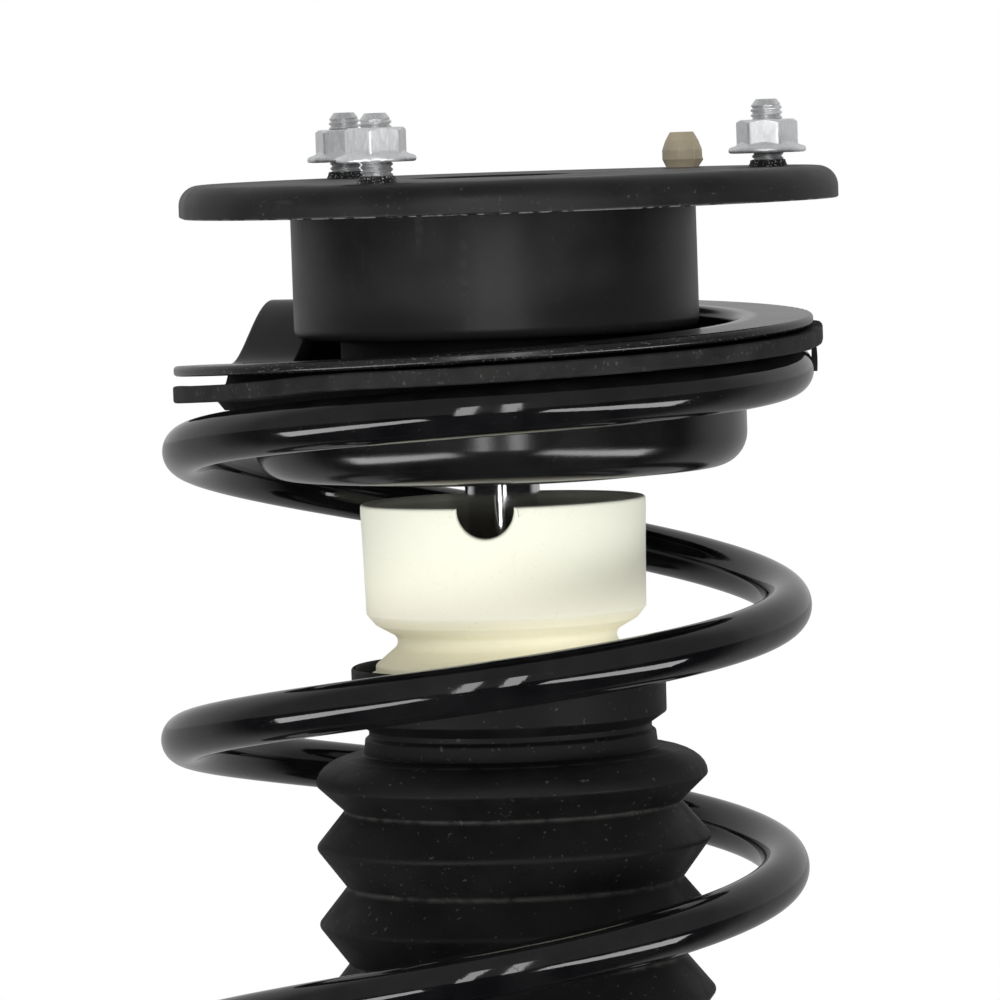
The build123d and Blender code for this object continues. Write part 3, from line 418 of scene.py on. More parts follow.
def torn_tab(finish):
    """A loose sliver of rubber under the strip's edge: a narrow wedge, thin across, hanging in a slight bow."""
    fall = np.linspace(0, 1, 12)[:, None]
    across = np.array([-1, -1, 1, 1])[None]
    side = np.array([-1, 1, 1, -1])[None]
    top = isolator_top(np.array(TAB_TURN)) - 3.5 * MM
    x = (92.7 + 0.3 * np.sin(fall * 3) + (0.6 + 0.3 * fall) * across) * MM
    y = (1.5 + side * (3.2 - 1.4 * fall) + 0.6 * np.sin(fall * 5)) * MM
    z = top - (9.6 * fall - 0.7 * side * fall) * MM
    return ride_as(surface("isolator_tab", capped(stacked(x, y, z))), finish, "upper_seat")


# ---- coil spring ------------------------------------------------------------------------------
WIRE_R = 7.2 * MM
COIL_R = 88.4 * MM
SPRING_X = -2.9 * MM
SPRING_LEAN = np.radians(2.3)
WIRE_START = -125.0 / 180.0
WIRE_END = 8.6
HALF_TURN_FALLS = np.array([0.3, 0, 26.1, 69, 111, 146.3, 199.6, 243.8, 271.7, 285.2, 289.2]) * MM
FRONT_RISE = 3.5 * MM
RISE_FULL = 1.3
RISE_LAST = 6
RISE_FADE = 1.5
WIRE_BEVEL = 1.2 * MM
CAP_RINGS = 6
SPRING_ACROSS = np.array([np.cos(SPRING_LEAN), 0, -np.sin(SPRING_LEAN)])
SPRING_UP = np.array([np.sin(SPRING_LEAN), 0, np.cos(SPRING_LEAN)])


def wire_fall(half_turns):
    """Fall of the wire's centre below the spring's head: a cubic through the half-turn values, whose slope
    at each value is the mean of the slopes on both sides of it, less a rise of the middle turns' fronts."""
    last = len(HALF_TURN_FALLS) - 1
    place = np.clip(half_turns + 1, 0, last - 1e-6)
    i = place.astype(int)
    t = place - i
    slopes = np.gradient(HALF_TURN_FALLS)
    curve = (HALF_TURN_FALLS[i] * (2 * t**3 - 3 * t**2 + 1) + slopes[i] * (t**3 - 2 * t**2 + t)
             + HALF_TURN_FALLS[i + 1] * (3 * t**2 - 2 * t**3) + slopes[i + 1] * (t**3 - t**2))
    rise = FRONT_RISE * smooth(half_turns / RISE_FULL) * (1 - smooth((half_turns - RISE_LAST) / RISE_FADE))
    return curve - rise * np.sin(np.pi * half_turns)


def spring_round(angle):
    """Directions square to the spring's leaning axis, at angles round it."""
    return SPRING_ACROSS * np.cos(angle)[:, None] + np.array([0, 1, 0]) * np.sin(angle)[:, None]


def wire_line(half_turns):
    """Centre line of the wire: a circle of the coil's radius about the leaning axis, sinking by wire_fall,
    lifted so that the wire's surface ends at the top of its box. Also its direction."""
    line = np.array([SPRING_X, 0, 0]) + spring_round(-np.pi * half_turns) * COIL_R
    line -= SPRING_UP * wire_fall(half_turns)[:, None]
    along = unit(np.gradient(line, axis=0))
    highest = (line[:, 2] + WIRE_R * np.sqrt(1 - along[:, 2] ** 2)).max()
    line[:, 2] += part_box("coil_spring")[1].z - highest
    return line, along


def wire_rings(rows):
    """Radius of each ring of the wire, its way along the wire from its row, and that row's number. At both ends
    rings on a quarter circle of the bevel's size close the wire."""
    cap = np.linspace(0, np.pi / 2, CAP_RINGS)[1:]
    size = np.concatenate([[0], np.cos(cap)[::-1], np.ones(rows), np.cos(cap), [0]])
    radius = WIRE_R - WIRE_BEVEL + WIRE_BEVEL * size
    radius[[0, -1]] = 0
    push = np.concatenate([[-1], -np.sin(cap)[::-1], np.zeros(rows), np.sin(cap), [1]]) * WIRE_BEVEL
    push[:CAP_RINGS] += WIRE_BEVEL
    push[-CAP_RINGS:] -= WIRE_BEVEL
    return radius, push, np.clip(np.arange(len(size)) - CAP_RINGS, 0, rows - 1)


def coil_spring(finish):
    """The wire: a circle carried along wire_line, square to it, with the edges of its cut ends rounded. All
    points of a ring store the same share, how far down the spring the ring lies."""
    centre, along = wire_line(np.linspace(WIRE_START, WIRE_END, 1000))
    side = unit(np.cross(along, [0, 0, 1]))
    up = np.cross(side, along)
    radius, push, row = wire_rings(len(centre))
    angle = circle_angles(56)[None, :, None]
    ring = side[row][:, None] * np.cos(angle) + up[row][:, None] * np.sin(angle)
    middle = centre[row] + along[row] * push[:, None]
    points = middle[:, None] + ring * radius[:, None, None]
    share = np.clip((centre[0, 2] - centre[row, 2]) / (centre[0, 2] - centre[-1, 2]), 0, 1)
    piece = surface("spring_wire", points, share=np.repeat(share, points.shape[1]))
    dress(piece, finish, "coil_spring", rides_apart=True)
    kept = np.empty(len(piece.data.vertices), np.float32)
    piece.data.attributes["share"].data.foreach_get("value", kept)
    shorten(piece)
    return piece


def shorten(piece):
    """Bakes the piece's transform into its mesh; share, a number from 0 to 1 for each of its points,
    stays stored on it."""
    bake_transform(piece)


def mesh_points(piece):
    """The piece's points as an (n, 3) array."""
    flat = np.empty(len(piece.data.vertices) * 3)
    piece.data.vertices.foreach_get("co", flat)
    return flat.reshape(-1, 3)


# ---- lower seat, lower isolator and mount rubber ----------------------------------------------
def spring_foot():
    """Centre of the lower seat's face, and the spring's axis: the isolator's ring stands there, so its box
    gives the place."""
    low, high = (np.array(corner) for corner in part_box("lower_isolator"))
    tilt, reach, thick = np.sin(SPRING_LEAN), 96.5 * MM, 4 * MM
    return np.array([(low[0] + high[0] - tilt * thick) / 2, 0, low[2] + tilt * reach])


def leaning(section, angle):
    """A section turned about the spring's axis from its foot up."""
    radius, height = section[:, 0, None, None], section[:, 1, None, None]
    return spring_foot() + spring_round(angle) * radius + SPRING_UP * height


def lower_isolator(finish):
    """Rounded section with a shallow groove on top, turned about the leaning axis."""
    section = rounded([
        (76.9, 0.05, 0.5), (96.3, 0.05, 0.6), (96.3, 3.95, 0.9), (93.5, 3.95, 1.5), (91.5, 3.5, 2),
        (85.5, 3.5, 2), (83.5, 3.95, 1.5), (76.9, 3.95, 0.9),
    ], steps=4)
    points = leaning(section, circle_angles(200))
    return dress(surface("lower_isolator_ring", points, ring_rows=True), finish, "lower_isolator")


def lower_seat(finish):
    """Pressed pan with rolled edges, turned about the leaning axis, and an upright hub round the tube. The
    pan's inmost rows lie on the hub: x = r cos a, y = r sin a, at the height where the pan's face passes."""
    section = rounded([
        (28, 3, 0), (68.5, 3, 3), (72.5, 5, 2), (76.5, 5, 1.5), (76.5, 0, 2), (96.8, 0, 2.5), (96.8, 7, 1.2),
        (100, 7, 1.2), (100, -3.2, 5), (72.5, -3.2, 3), (68.5, -0.2, 3), (28, -0.2, 0),
    ])
    angle = circle_angles(240)
    foot = spring_foot()
    pan = leaning(section, angle)
    x, y = 29 * MM * np.cos(angle), 29 * MM * np.sin(angle)
    level = section[:, 1, None] / np.cos(SPRING_LEAN) - (x - foot[0]) * np.tan(SPRING_LEAN) + foot[2]
    is_hole = (section[:, 0] < 30 * MM)[:, None, None]
    points = np.where(is_hole, stacked(x, y, level), pan)
    dress(surface("lower_seat_pan", points, ring_rows=True), finish, "lower_spring_seat")
    low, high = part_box("lower_spring_seat")[0].z / MM, foot[2] / MM + 2
    hub = rounded([(27.05, low, 0.4), (30.45, low, 1.0), (30.45, high, 1.0), (27.05, high, 0.4)], steps=4)
    return dress(turned("lower_seat_hub", hub, 120), finish, "lower_spring_seat")


def mount_rubber(finish):
    """Block between the sleeve and the housing: its top dips in a soft groove, its foot is chamfered."""
    outline = rounded([
        (16.1, -63, 0), (31.6, -63, 2), (43.4, -54, 1.5), (43.4, -43.6, 0), (57, -43.6, 0), (57, -9.1, 2),
        (48.1, -9.1, 3), (43.1, -19, 4), (37.1, -19, 4), (31.1, -12, 4), (16.1, -18, 1),
    ], steps=6)
    return dress(turned("mount_rubber_block", outline, 160), finish, "mount_rubber")


# ---- weld beads -------------------------------------------------------------------------------
TUBE_R = 27.5 * MM
WELD_OFF = 0.6 * MM
TOP, FOOT = 1, 0
WELDS = [
    ("weld_hub", "lower_spring_seat", FOOT, 200, 560),
    ("weld_knuckle_top", "knuckle_bracket", TOP, -128, 128),
    ("weld_knuckle_foot", "knuckle_bracket", FOOT, -128, 128),
    ("weld_link_top", "link_bracket", TOP, -136, -44),
    ("weld_link_foot", "link_bracket", FOOT, -136, -44),
    ("weld_hose_top", "hose_bracket", TOP, 18, 62),
    ("weld_hose_foot", "hose_bracket", FOOT, 18, 62),
]


def bead(name, centre, along, out):
    """Weld bead: a circle carried along a path, its radius rippled by the welder's steps, in millimetres
    1.9 + 0.22 sin(distance / 0.5) + 0.15 sin(distance / 3.1); its ends close to a point."""
    side = unit(np.cross(along, out))
    steps = np.concatenate([[0], np.cumsum(np.linalg.norm(np.diff(centre, axis=0), axis=1))])
    size = (1.9 + 0.22 * np.sin(steps / (0.5 * MM)) + 0.15 * np.sin(steps / (3.1 * MM))) * MM
    size = size * np.sqrt(np.clip(np.minimum(steps, steps[-1] - steps) / (1.5 * MM), 0, 1))
    turn = circle_angles(14)[None, :, None]
    ring = side[:, None] * np.cos(turn) + out[:, None] * np.sin(turn)
    return surface(name, centre[:, None] + ring * size[:, None, None])


def weld(name, node, end, first, last, finish):
    """Bead round the tube just beyond a node's top or foot, from one angle to another in degrees."""
    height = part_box(node)[end].z + (WELD_OFF if end == TOP else -WELD_OFF)
    turn = np.radians(np.linspace(first, last, int(abs(last - first) * 1.6)))
    zero = 0 * turn
    out = np.stack([np.cos(turn), np.sin(turn), zero], axis=1)
    along = np.stack([-np.sin(turn), np.cos(turn), zero], axis=1)
    piece = bead(name, out * TUBE_R + np.array([0, 0, height]), along, out)
    return ride_as(piece, finish, "damper_tube")


# ---- bump stop --------------------------------------------------------------------------------
NOTCH_X = -5.2 * MM
NOTCH_HALF = 8.3 * MM
NOTCH_DEPTH = 9.0 * MM
STOP_LIP = 0.9
STOP_R = 42
STOP_BORE_R = 37


def stop_columns():
    """Columns round the stop's wall: the angle of each, its place along x, the height of its edge below the
    rim, the way from the edge into the wall, and how far it runs straight along y. The notch is a half circle
    with short upright sides, and its columns stand at cosine steps across it."""
    outer = STOP_R * MM
    bend = np.linspace(0, np.pi, 25)
    x = NOTCH_X + NOTCH_HALF * np.concatenate([[-1], -np.cos(bend), [1]])
    drop = NOTCH_DEPTH - NOTCH_HALF + NOTCH_HALF * np.concatenate([[0], np.sin(bend), [0]])
    drop[[0, -1]] = 0
    way_x = np.concatenate([[-0.7], -np.cos(bend), [0.7]])
    way_z = np.concatenate([[-0.7], -np.sin(bend), [-0.7]])
    first, last = -np.arccos(x[0] / outer), -np.arccos(x[-1] / outer)
    rest = np.linspace(last, first + TAU, 190)[1:-1]
    angle = np.concatenate([-np.arccos(x / outer), rest])
    blank = np.zeros(len(rest))
    gap = np.minimum(rest - last, first + TAU - rest) * outer
    aligned = np.concatenate([np.ones(len(x)), 1 - smooth(gap / (14 * MM))])
    along = np.concatenate([x, outer * np.cos(rest)])
    return (angle, along, np.concatenate([drop, blank]), np.concatenate([way_x, blank]),
            np.concatenate([way_z, blank - 1]), aligned)


def bump_stop(finish):
    """The stop's section turned round the rod. Next to its upper edge the rows keep a fixed distance from the
    edge, also round the notch, where columns run straight through the wall along y."""
    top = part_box("bump_stop")[1].z / MM
    angle, along, drop, way_x, way_z, aligned = stop_columns()
    bend = np.linspace(0, np.pi / 2, 6)
    fall, back = STOP_LIP * (1 - np.sin(bend)), STOP_LIP * (1 - np.cos(bend))
    into = np.concatenate([[3, 1.3], fall, [0], back, [1.3, 3]])[:, None] * MM
    outside, inside = [STOP_R, STOP_R], [STOP_BORE_R, STOP_BORE_R]
    middle = [(STOP_R + STOP_BORE_R) / 2]
    reach = np.concatenate([outside, STOP_R - back, middle, STOP_BORE_R + fall, inside])[:, None] * MM
    x = along + into * way_x
    straight = -np.arccos(np.clip(x / reach, -0.99, 0.99))
    sideways = np.where(aligned > 0, straight + TAU * (angle > 0.5 * np.pi), 0)
    turn = np.where(aligned > 0, aligned * sideways + (1 - aligned) * angle, angle)
    edge = round_axis(reach, turn, top * MM - drop + into * way_z)
    body = rounded([
        (35.5, -17, 0), (15, -21.5, 1.5), (11.05, -24, 0.5), (11.05, -77, 0.5), (25, -77, 2), (30.3, -66, 3),
        (37.4, -62, 2), (42.4, -59, 0.5), (42.4, -51, 0.5), (39, -49.5, 0.5), (39, -47.5, 1.2),
        (30.3, -40.3, 2.6), (38.6, -35.6, 1.4), (41.2, -32.4, 0.8), (41.6, -14, 0),
    ], steps=7)
    rest = round_axis(body[:, 0, None], angle, body[:, 1, None] + top * MM)
    piece = surface("stop_foam", np.concatenate([edge, rest]), ring_rows=True)
    dress(piece, finish, "bump_stop")
    return piece


# ---- dust boot --------------------------------------------------------------------------------
PLEATS = 6
FIRST_PLEAT = -195.8
PLEAT_PITCH = 22.8


def boot_outline():
    """Outer side of the boot from its collar down, then its inner side a wall's thickness in: a collar, a
    groove, a ring, one bulge whose upper side is a quarter ellipse, and pleats at an even pitch."""
    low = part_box("dust_boot")[0].z / MM
    swell = np.linspace(0, np.pi / 2, 10)[1:-1]
    bulge = [(43.4 + 14.3 * np.sin(s), -176.8 + 8.0 * np.cos(s), 0) for s in swell]
    pleats = []
    for i in range(PLEATS):
        middle = FIRST_PLEAT - PLEAT_PITCH * i
        pleats += [(49.6, middle + 10.7 + 0.2 * (i > 0), 0.7), (58.5, middle, 1.6)]
    outer = [
        (40, -147, 0.8), (44.0, -147, 0.8), (44.6, -143, 0.9), (46.3, -143, 0.9), (46.2, -158.6, 0.8),
        (41.7, -161.6, 0.6), (41.7, -163.2, 0.4), (42.9, -164.2, 0.7), (43.4, -168.8, 0.5),
    ] + bulge + [(57.8, -177.4, 1.2)] + pleats
    last = [(43.6, low + 13, 3), (29.5, low + 11, 2), (29.5, low, 0.6)]
    inner = [(27.3, low, 0), (27.3, low + 13, 0)]
    inner += [(radius - 2.2, height, 0) for radius, height, _ in reversed(pleats)]
    inner += [(55.4, -177.4, 0), (41, -170.5, 0), (39.6, -163, 0), (40, -159, 0)]
    return outer + last + inner


def dust_boot(finish):
    """The boot's outline turned about the rod."""
    piece = turned("boot_bellows", rounded(boot_outline(), steps=5), 180)
    dress(piece, finish, "dust_boot", rides_apart=True)
    height = mesh_points(piece)[:, 2]
    shorten(piece)
    return piece


# ---- shader maths -----------------------------------------------------------------------------
class Socket:
    """One output of a shader tree; arithmetic on it adds Math nodes."""

    def __init__(self, tree, output):
        self.tree, self.output = tree, output

    def maths(self, operation, *values):
        return self.tree.node("ShaderNodeMath", {"operation": operation}, dict(enumerate(values)))

    def __add__(self, other):
        return self.maths("ADD", self, other)

    def __sub__(self, other):
        return self.maths("SUBTRACT", self, other)

    def __rsub__(self, other):
        return self.maths("SUBTRACT", other, self)

    def __mul__(self, other):
        return self.maths("MULTIPLY", self, other)

    __radd__, __rmul__ = __add__, __mul__

    def twin(self, name):
        """Another output of the same node."""
        return Socket(self.tree, self.output.node.outputs[name])

    def between(self, low, high, first=0.0, last=1.0):
        """first below low, last above high, and a smooth step from one to the other."""
        settings = {"interpolation_type": "SMOOTHSTEP"}
        return self.tree.node("ShaderNodeMapRange", settings, {0: self, 1: low, 2: high, 3: first, 4: last})

    def below(self, low, high):
        """1 below low, 0 above high."""
        return self.between(low, high, 1.0, 0.0)

    def spread(self, first=0.0, last=1.0):
        """The middle of a cloudy pattern's range, drawn out to first and last."""
        return self.between(0.3, 0.7, first, last)


class Tree:
    """The node tree of a material or of the world."""

    def __init__(self, owner):
        owner.use_nodes = True
        self.nodes, self.links = owner.node_tree.nodes, owner.node_tree.links
        self.nodes.clear()

    def node(self, kind, settings=None, inputs=None, output=0):
        """Adds a node: its settings first, then values or links for its inputs, by name or number. Gives one of
        its outputs, or the node itself where it has none."""
        made = self.nodes.new(kind)
        for name, value in (settings or {}).items():
            setattr(made, name, value)
        for name, value in (inputs or {}).items():
            if isinstance(value, Socket):
                self.links.new(value.output, made.inputs[name])
            else:
                made.inputs[name].default_value = value
        return Socket(self, made.outputs[output]) if made.outputs else made

    def mix(self, share, first, second):
        """first where share is 0, second where it is 1; sockets 6, 7 and 2 are the node's colours."""
        inputs = {0: share, 6: colour(first), 7: colour(second)}
        return self.node("ShaderNodeMix", {"data_type": "RGBA"}, inputs, output=2)


def colour(value):
    """A colour with its alpha, or the socket as it is."""
    return value if isinstance(value, Socket) else (*value, 1)


class Finish(Tree):
    """A material with one Principled shader, patterned on Object coordinates."""

    def __init__(self, name, constants):
        self.material = bpy.data.materials.new(name)
        super().__init__(self.material)
        self.shader = self.node("ShaderNodeBsdfPrincipled", {}, constants)
        self.end = self.node("ShaderNodeOutputMaterial", {}, {0: self.shader})
        self.place = self.node("ShaderNodeTexCoord", output="Object")

    def feed(self, name, value):
        self.links.new(value.output, self.shader.output.node.inputs[name])

    def noise(self, per_metre, detail=3.0, stretch=None):
        """Cloudy pattern from 0 to 1; stretch scales its axes."""
        place = self.place
        if stretch:
            place = self.node("ShaderNodeMapping", {}, {0: place, 3: stretch})
        return self.node("ShaderNodeTexNoise", {}, {"Vector": place, "Scale": per_metre, "Detail": detail})

    def bumped(self, height, depth):
        """Adds a bump whose height is in units of depth, and gives the material."""
        inputs = {"Height": height, "Distance": depth, "Strength": 1.0}
        self.feed("Normal", self.node("ShaderNodeBump", {}, inputs))
        return self.material


# ---- finishes ---------------------------------------------------------------------------------
def height_of(finish):
    """Object Z of the shaded point."""
    return finish.node("ShaderNodeSeparateXYZ", {}, {0: finish.place}, output="Z")


def radius_of(finish):
    """Distance of the shaded point from the strut's axis."""
    flat = finish.node("ShaderNodeVectorMath", {"operation": "MULTIPLY"}, {0: finish.place, 1: (1, 1, 0)})
    return finish.node("ShaderNodeVectorMath", {"operation": "LENGTH"}, {0: flat}, output="Value")


def specks(finish, per_metre, rare=0.70):
    """Small grains, 1 inside and 0 elsewhere."""
    return finish.noise(per_metre, 1.0).between(rare, rare + 0.03)


def plate_paint():
    """Satin black electrophoretic paint: soft clouds, dust grains, metal just showing at the lower edge."""
    finish = Finish("satin_black", {"Specular IOR Level": 0.30})
    clouds, dust = finish.noise(45, 4.0), specks(finish, 850, 0.69)
    scuff = finish.noise(60, 5.0, stretch=(1, 1, 6)).between(0.66, 0.74)
    edge = height_of(finish).below(-9.45 * MM, -9.0 * MM) * finish.noise(300).between(0.42, 0.55)
    base = finish.mix(clouds.spread(), (0.0045, 0.0045, 0.005), (0.011, 0.011, 0.0115))
    base = finish.mix(dust * 0.10, base, (0.22, 0.22, 0.21))
    base = finish.mix(scuff * 0.08, base, (0.10, 0.10, 0.10))
    finish.feed("Base Color", finish.mix(edge * 0.5, base, (0.30, 0.30, 0.29)))
    finish.feed("Roughness", clouds.spread(0.40, 0.50) + dust * 0.3)
    return finish.bumped(finish.noise(1500, 2.0) + clouds * 3.0, 0.012 * MM)


def can_paint():
    """The same paint, mottled and finely scratched on the housing, with a painted highlight that lightens its
    lower part; its neck is darkened as painted shade.
    """
    finish = Finish("can_black", {"Specular IOR Level": 0.32})
    clouds, fine = finish.noise(70, 6.0), finish.noise(420, 3.0)
    lines = finish.noise(260, 2.0, stretch=(1, 1, 0.07)).between(0.63, 0.70)
    # Painted shade: neck marks the housing's neck, which is made almost black below.
    neck = height_of(finish).below(-47.5 * MM, -46 * MM)
    base = finish.mix(clouds.between(0.32, 0.7), (0.0035, 0.0035, 0.004), (0.007, 0.007, 0.0075))
    # Painted highlight: the housing is lightened towards its foot.
    lower = height_of(finish).between(-46 * MM, -18 * MM, 0.55, 0.0)
    base = finish.mix(lower, base, (0.030, 0.030, 0.031))
    base = finish.mix(lines * fine.between(0.4, 0.6) * 0.05, base, (0.14, 0.14, 0.14))
    base = finish.mix(specks(finish, 1100, 0.71) * 0.06, base, (0.2, 0.2, 0.19))
    # Painted shade on the neck.
    finish.feed("Base Color", finish.mix(neck * 0.85, base, (0.0012, 0.0012, 0.0012)))
    finish.feed("Roughness", clouds.spread(0.36, 0.42) + neck * 0.3 + lines * 0.03)
    return finish.bumped(clouds * 2.0 + fine, 0.02 * MM)


def seat_paint():
    """Glossy on the cup, satin on the flange, with painted glints, short bright dashes, round the flange's rim.
    """
    finish = Finish("seat_black", {"Specular IOR Level": 0.55})
    clouds, radius = finish.noise(55, 4.0), radius_of(finish)
    flange = radius.between(74 * MM, 78 * MM)
    # rim marks the flange's outer edge, where the glints are painted.
    rim = radius.between(92.3 * MM, 92.9 * MM)
    painted_glints = finish.noise(700, 2.0, stretch=(1, 1, 2.5)).between(0.62, 0.68) * rim
    base = finish.mix(clouds.spread(), (0.003, 0.003, 0.0035), (0.008, 0.008, 0.0085))
    # Painted glints: short light dashes on the rim.
    base = finish.mix(painted_glints * 0.14, base, (0.28, 0.28, 0.27))
    finish.feed("Base Color", finish.mix(specks(finish, 1000, 0.71) * 0.05, base, (0.2, 0.2, 0.19)))
    finish.feed("Roughness", flange.between(0, 1, 0.15, 0.22) + clouds * 0.06 + painted_glints * 0.2)
    return finish.bumped(finish.noise(90, 3.0) + finish.noise(900, 2.0) * 0.2, 0.05 * MM)


def spring_paint():
    """Thick gloss black powder coat: hardly wavy, a few grains under it."""
    finish = Finish("gloss_black", {"Specular IOR Level": 0.5})
    slow, fine = finish.noise(70, 3.0), finish.noise(700, 2.0)
    grains = specks(finish, 1300, 0.725)
    base = finish.mix(slow.spread(), (0.0025, 0.0025, 0.003), (0.006, 0.006, 0.0065))
    finish.feed("Base Color", finish.mix(grains * 0.05, base, (0.12, 0.12, 0.12)))
    finish.feed("Roughness", slow.spread(0.045, 0.09) + grains * 0.2)
    return finish.bumped(slow * 1.6 + fine * 0.12, 0.06 * MM)


def rubber_skin():
    """Moulded rubber with talc left in its pores."""
    finish = Finish("black_rubber", {"Specular IOR Level": 0.25})
    clouds, fine = finish.noise(120, 5.0), finish.noise(1400, 2.0)
    talc = specks(finish, 900, 0.66) * clouds.between(0.35, 0.6)
    base = finish.mix(clouds.spread(), (0.005, 0.005, 0.005), (0.015, 0.015, 0.0145))
    finish.feed("Base Color", finish.mix(talc * 0.15, base, (0.20, 0.20, 0.19)))
    finish.feed("Roughness", clouds.spread(0.62, 0.80))
    return finish.bumped(fine + clouds * 2.0, 0.05 * MM)


def boot_skin():
    """Matte rubber boot: dust grains, and lighter patches in its valleys."""
    finish = Finish("boot_rubber", {"Specular IOR Level": 0.22})
    clouds, radius = finish.noise(60, 4.0), radius_of(finish)
    valley = radius.below(49.9 * MM, 50.5 * MM) * radius.between(48.6 * MM, 49.2 * MM)
    base = finish.mix(clouds.spread(), (0.0022, 0.0022, 0.0024), (0.0045, 0.0045, 0.0045))
    base = finish.mix(valley * finish.noise(200).between(0.3, 0.6) * 0.3, base, (0.06, 0.06, 0.055))
    base = finish.mix(specks(finish, 620, 0.71) * 0.09, base, (0.30, 0.29, 0.27))
    finish.feed("Base Color", base)
    finish.feed("Roughness", clouds.spread(0.55, 0.72))
    return finish.bumped(finish.noise(1300, 2.0) + clouds * 2.0, 0.03 * MM)


def foam_skin():
    """Microcellular polyurethane: cream, yellower from its waist down and lighter there as painted light,
    darker above it as painted shade, with painted shade inside its cup, pitted all over.
    """
    finish = Finish("cream_foam", {"Specular IOR Level": 0.25})
    height, radius = height_of(finish), radius_of(finish)
    clouds, pits = finish.noise(90, 4.0), finish.noise(1100, 2.0)
    # low: yellower from the waist down as the foam's own tone, and lighter there as painted light; the darker
    # cream above is painted shade.
    low = height.below(-130 * MM, -100 * MM)
    waist = height.below(-129.5 * MM, -127 * MM)
    # Painted shade: inside marks the cup's inner wall, which is darkened brown below.
    inside = radius.below(36.4 * MM, 37.4 * MM) * height.below(-97.5 * MM, -96.5 * MM)
    inside = inside * height.between(-122 * MM, -121 * MM)
    base = finish.mix(low * 0.8 + clouds * 0.2, (0.78, 0.79, 0.67), (0.87, 0.85, 0.69))
    base = finish.mix(waist * 0.5, base, (0.84, 0.78, 0.54))
    base = finish.mix(pits.between(0.64, 0.74) * 0.14, base, (0.45, 0.40, 0.28))
    # Painted shade inside the cup.
    finish.feed("Base Color", finish.mix(inside * 0.75, base, (0.20, 0.17, 0.13)))
    finish.feed("Roughness", clouds.spread(0.55, 0.72))
    return finish.bumped(pits + clouds, 0.06 * MM)


def zinc_plate():
    """Bright zinc with a fine grain and a few dull spots."""
    finish = Finish("zinc", {"Metallic": 0.72})
    grain, clouds = finish.noise(1600, 2.0, stretch=(1, 1, 0.25)), finish.noise(260, 4.0)
    dull = clouds.between(0.56, 0.68)
    base = finish.mix(grain.spread(), (0.78, 0.79, 0.80), (0.88, 0.89, 0.90))
    finish.feed("Base Color", finish.mix(dull * 0.15, base, (0.50, 0.50, 0.49)))
    finish.feed("Roughness", grain.spread(0.34, 0.42) + dull * 0.08)
    return finish.bumped(grain + clouds * 0.5, 0.008 * MM)


def stud_metal():
    """Zinc thread above a blackened base, whose light speckles are painted glints."""
    finish = Finish("stud_steel", {})
    grain = finish.noise(1500, 3.0)
    dark = height_of(finish).below(1.9 * MM, 2.15 * MM)
    base = finish.mix(grain.spread(), (0.62, 0.63, 0.64), (0.80, 0.81, 0.82))
    # Painted glints: light speckles on the blackened base.
    black = finish.mix(finish.noise(1900, 1.0).between(0.60, 0.66), (0.006, 0.006, 0.006), (0.42, 0.42, 0.42))
    finish.feed("Base Color", finish.mix(dark, base, black))
    finish.feed("Metallic", dark.between(0, 1, 0.75, 0.0))
    finish.feed("Roughness", grain.spread(0.28, 0.42) + dark * 0.2)
    return finish.bumped(grain, 0.02 * MM)


def metal(name, light, dark, roughness, per_metre=900, stretch=(1, 1, 0.2), depth=0.02):
    """Bare metal: a grain drawn out along one way, two tones, duller where it is stained."""
    finish = Finish(name, {"Metallic": 1.0})
    grain, stain = finish.noise(per_metre, 2.0, stretch=stretch), finish.noise(110, 4.0).between(0.55, 0.7)
    base = finish.mix(grain.spread(), dark, light)
    finish.feed("Base Color", finish.mix(stain * 0.35, base, tuple(0.6 * c for c in dark)))
    finish.feed("Roughness", grain.spread(roughness, roughness * 1.35) + stain * 0.08)
    return finish.bumped(grain, depth * MM)


def moulding(name, light, dark, roughness):
    """Moulded plastic: two close tones in clouds, a fine pebble, a few scratches."""
    finish = Finish(name, {"Specular IOR Level": 0.4})
    clouds, pebble = finish.noise(150, 4.0), finish.noise(1300, 2.0)
    scratch = finish.noise(500, 2.0, stretch=(1, 1, 0.1)).between(0.66, 0.72)
    base = finish.mix(clouds.spread(), dark, light)
    finish.feed("Base Color", finish.mix(scratch * 0.25, base, tuple(min(1.6 * c, 0.9) for c in light)))
    finish.feed("Roughness", clouds.spread(roughness, roughness + 0.1))
    return finish.bumped(pebble + clouds, 0.03 * MM)


def tube_paint():
    """Black chassis paint on the tube and what is welded to it: orange peel, road dust, worn spots."""
    finish = Finish("tube_paint", {"Specular IOR Level": 0.4})
    clouds, peel = finish.noise(40, 5.0), finish.noise(520, 2.0)
    dust = specks(finish, 800, 0.69)
    worn = finish.noise(75, 6.0).between(0.70, 0.74)
    base = finish.mix(clouds.spread(), (0.004, 0.004, 0.0045), (0.012, 0.012, 0.0125))
    base = finish.mix(dust * 0.10, base, (0.20, 0.19, 0.17))
    finish.feed("Base Color", finish.mix(worn * 0.25, base, (0.10, 0.10, 0.10)))
    finish.feed("Roughness", clouds.spread(0.24, 0.38) + worn * 0.2 + dust * 0.3)
    return finish.bumped(peel * 1.2 + clouds * 1.5, 0.05 * MM)


# ---- studio -----------------------------------------------------------------------------------
def camera():
    """A 252 mm lens two metres away, a little above the mount plate, and rolled so that the strut leans."""
    data = bpy.data.cameras.new("camera")
    data.lens, data.sensor_width = 252.0, 36.0
    data.clip_start, data.clip_end = 0.1, 50.0
    piece = bpy.data.objects.new("camera", data)
    bpy.context.scene.collection.objects.link(piece)
    target = Vector((-0.8 * MM, 0, -95.2 * MM))
    piece.location = (-0.8 * MM, -2.054, 26 * MM)
    piece.rotation_mode = "QUATERNION"
    level = (target - piece.location).to_track_quat("-Z", "Y")
    piece.rotation_quaternion = level @ Quaternion((0, 0, 1), np.radians(-1.95))
    bpy.context.scene.camera = piece


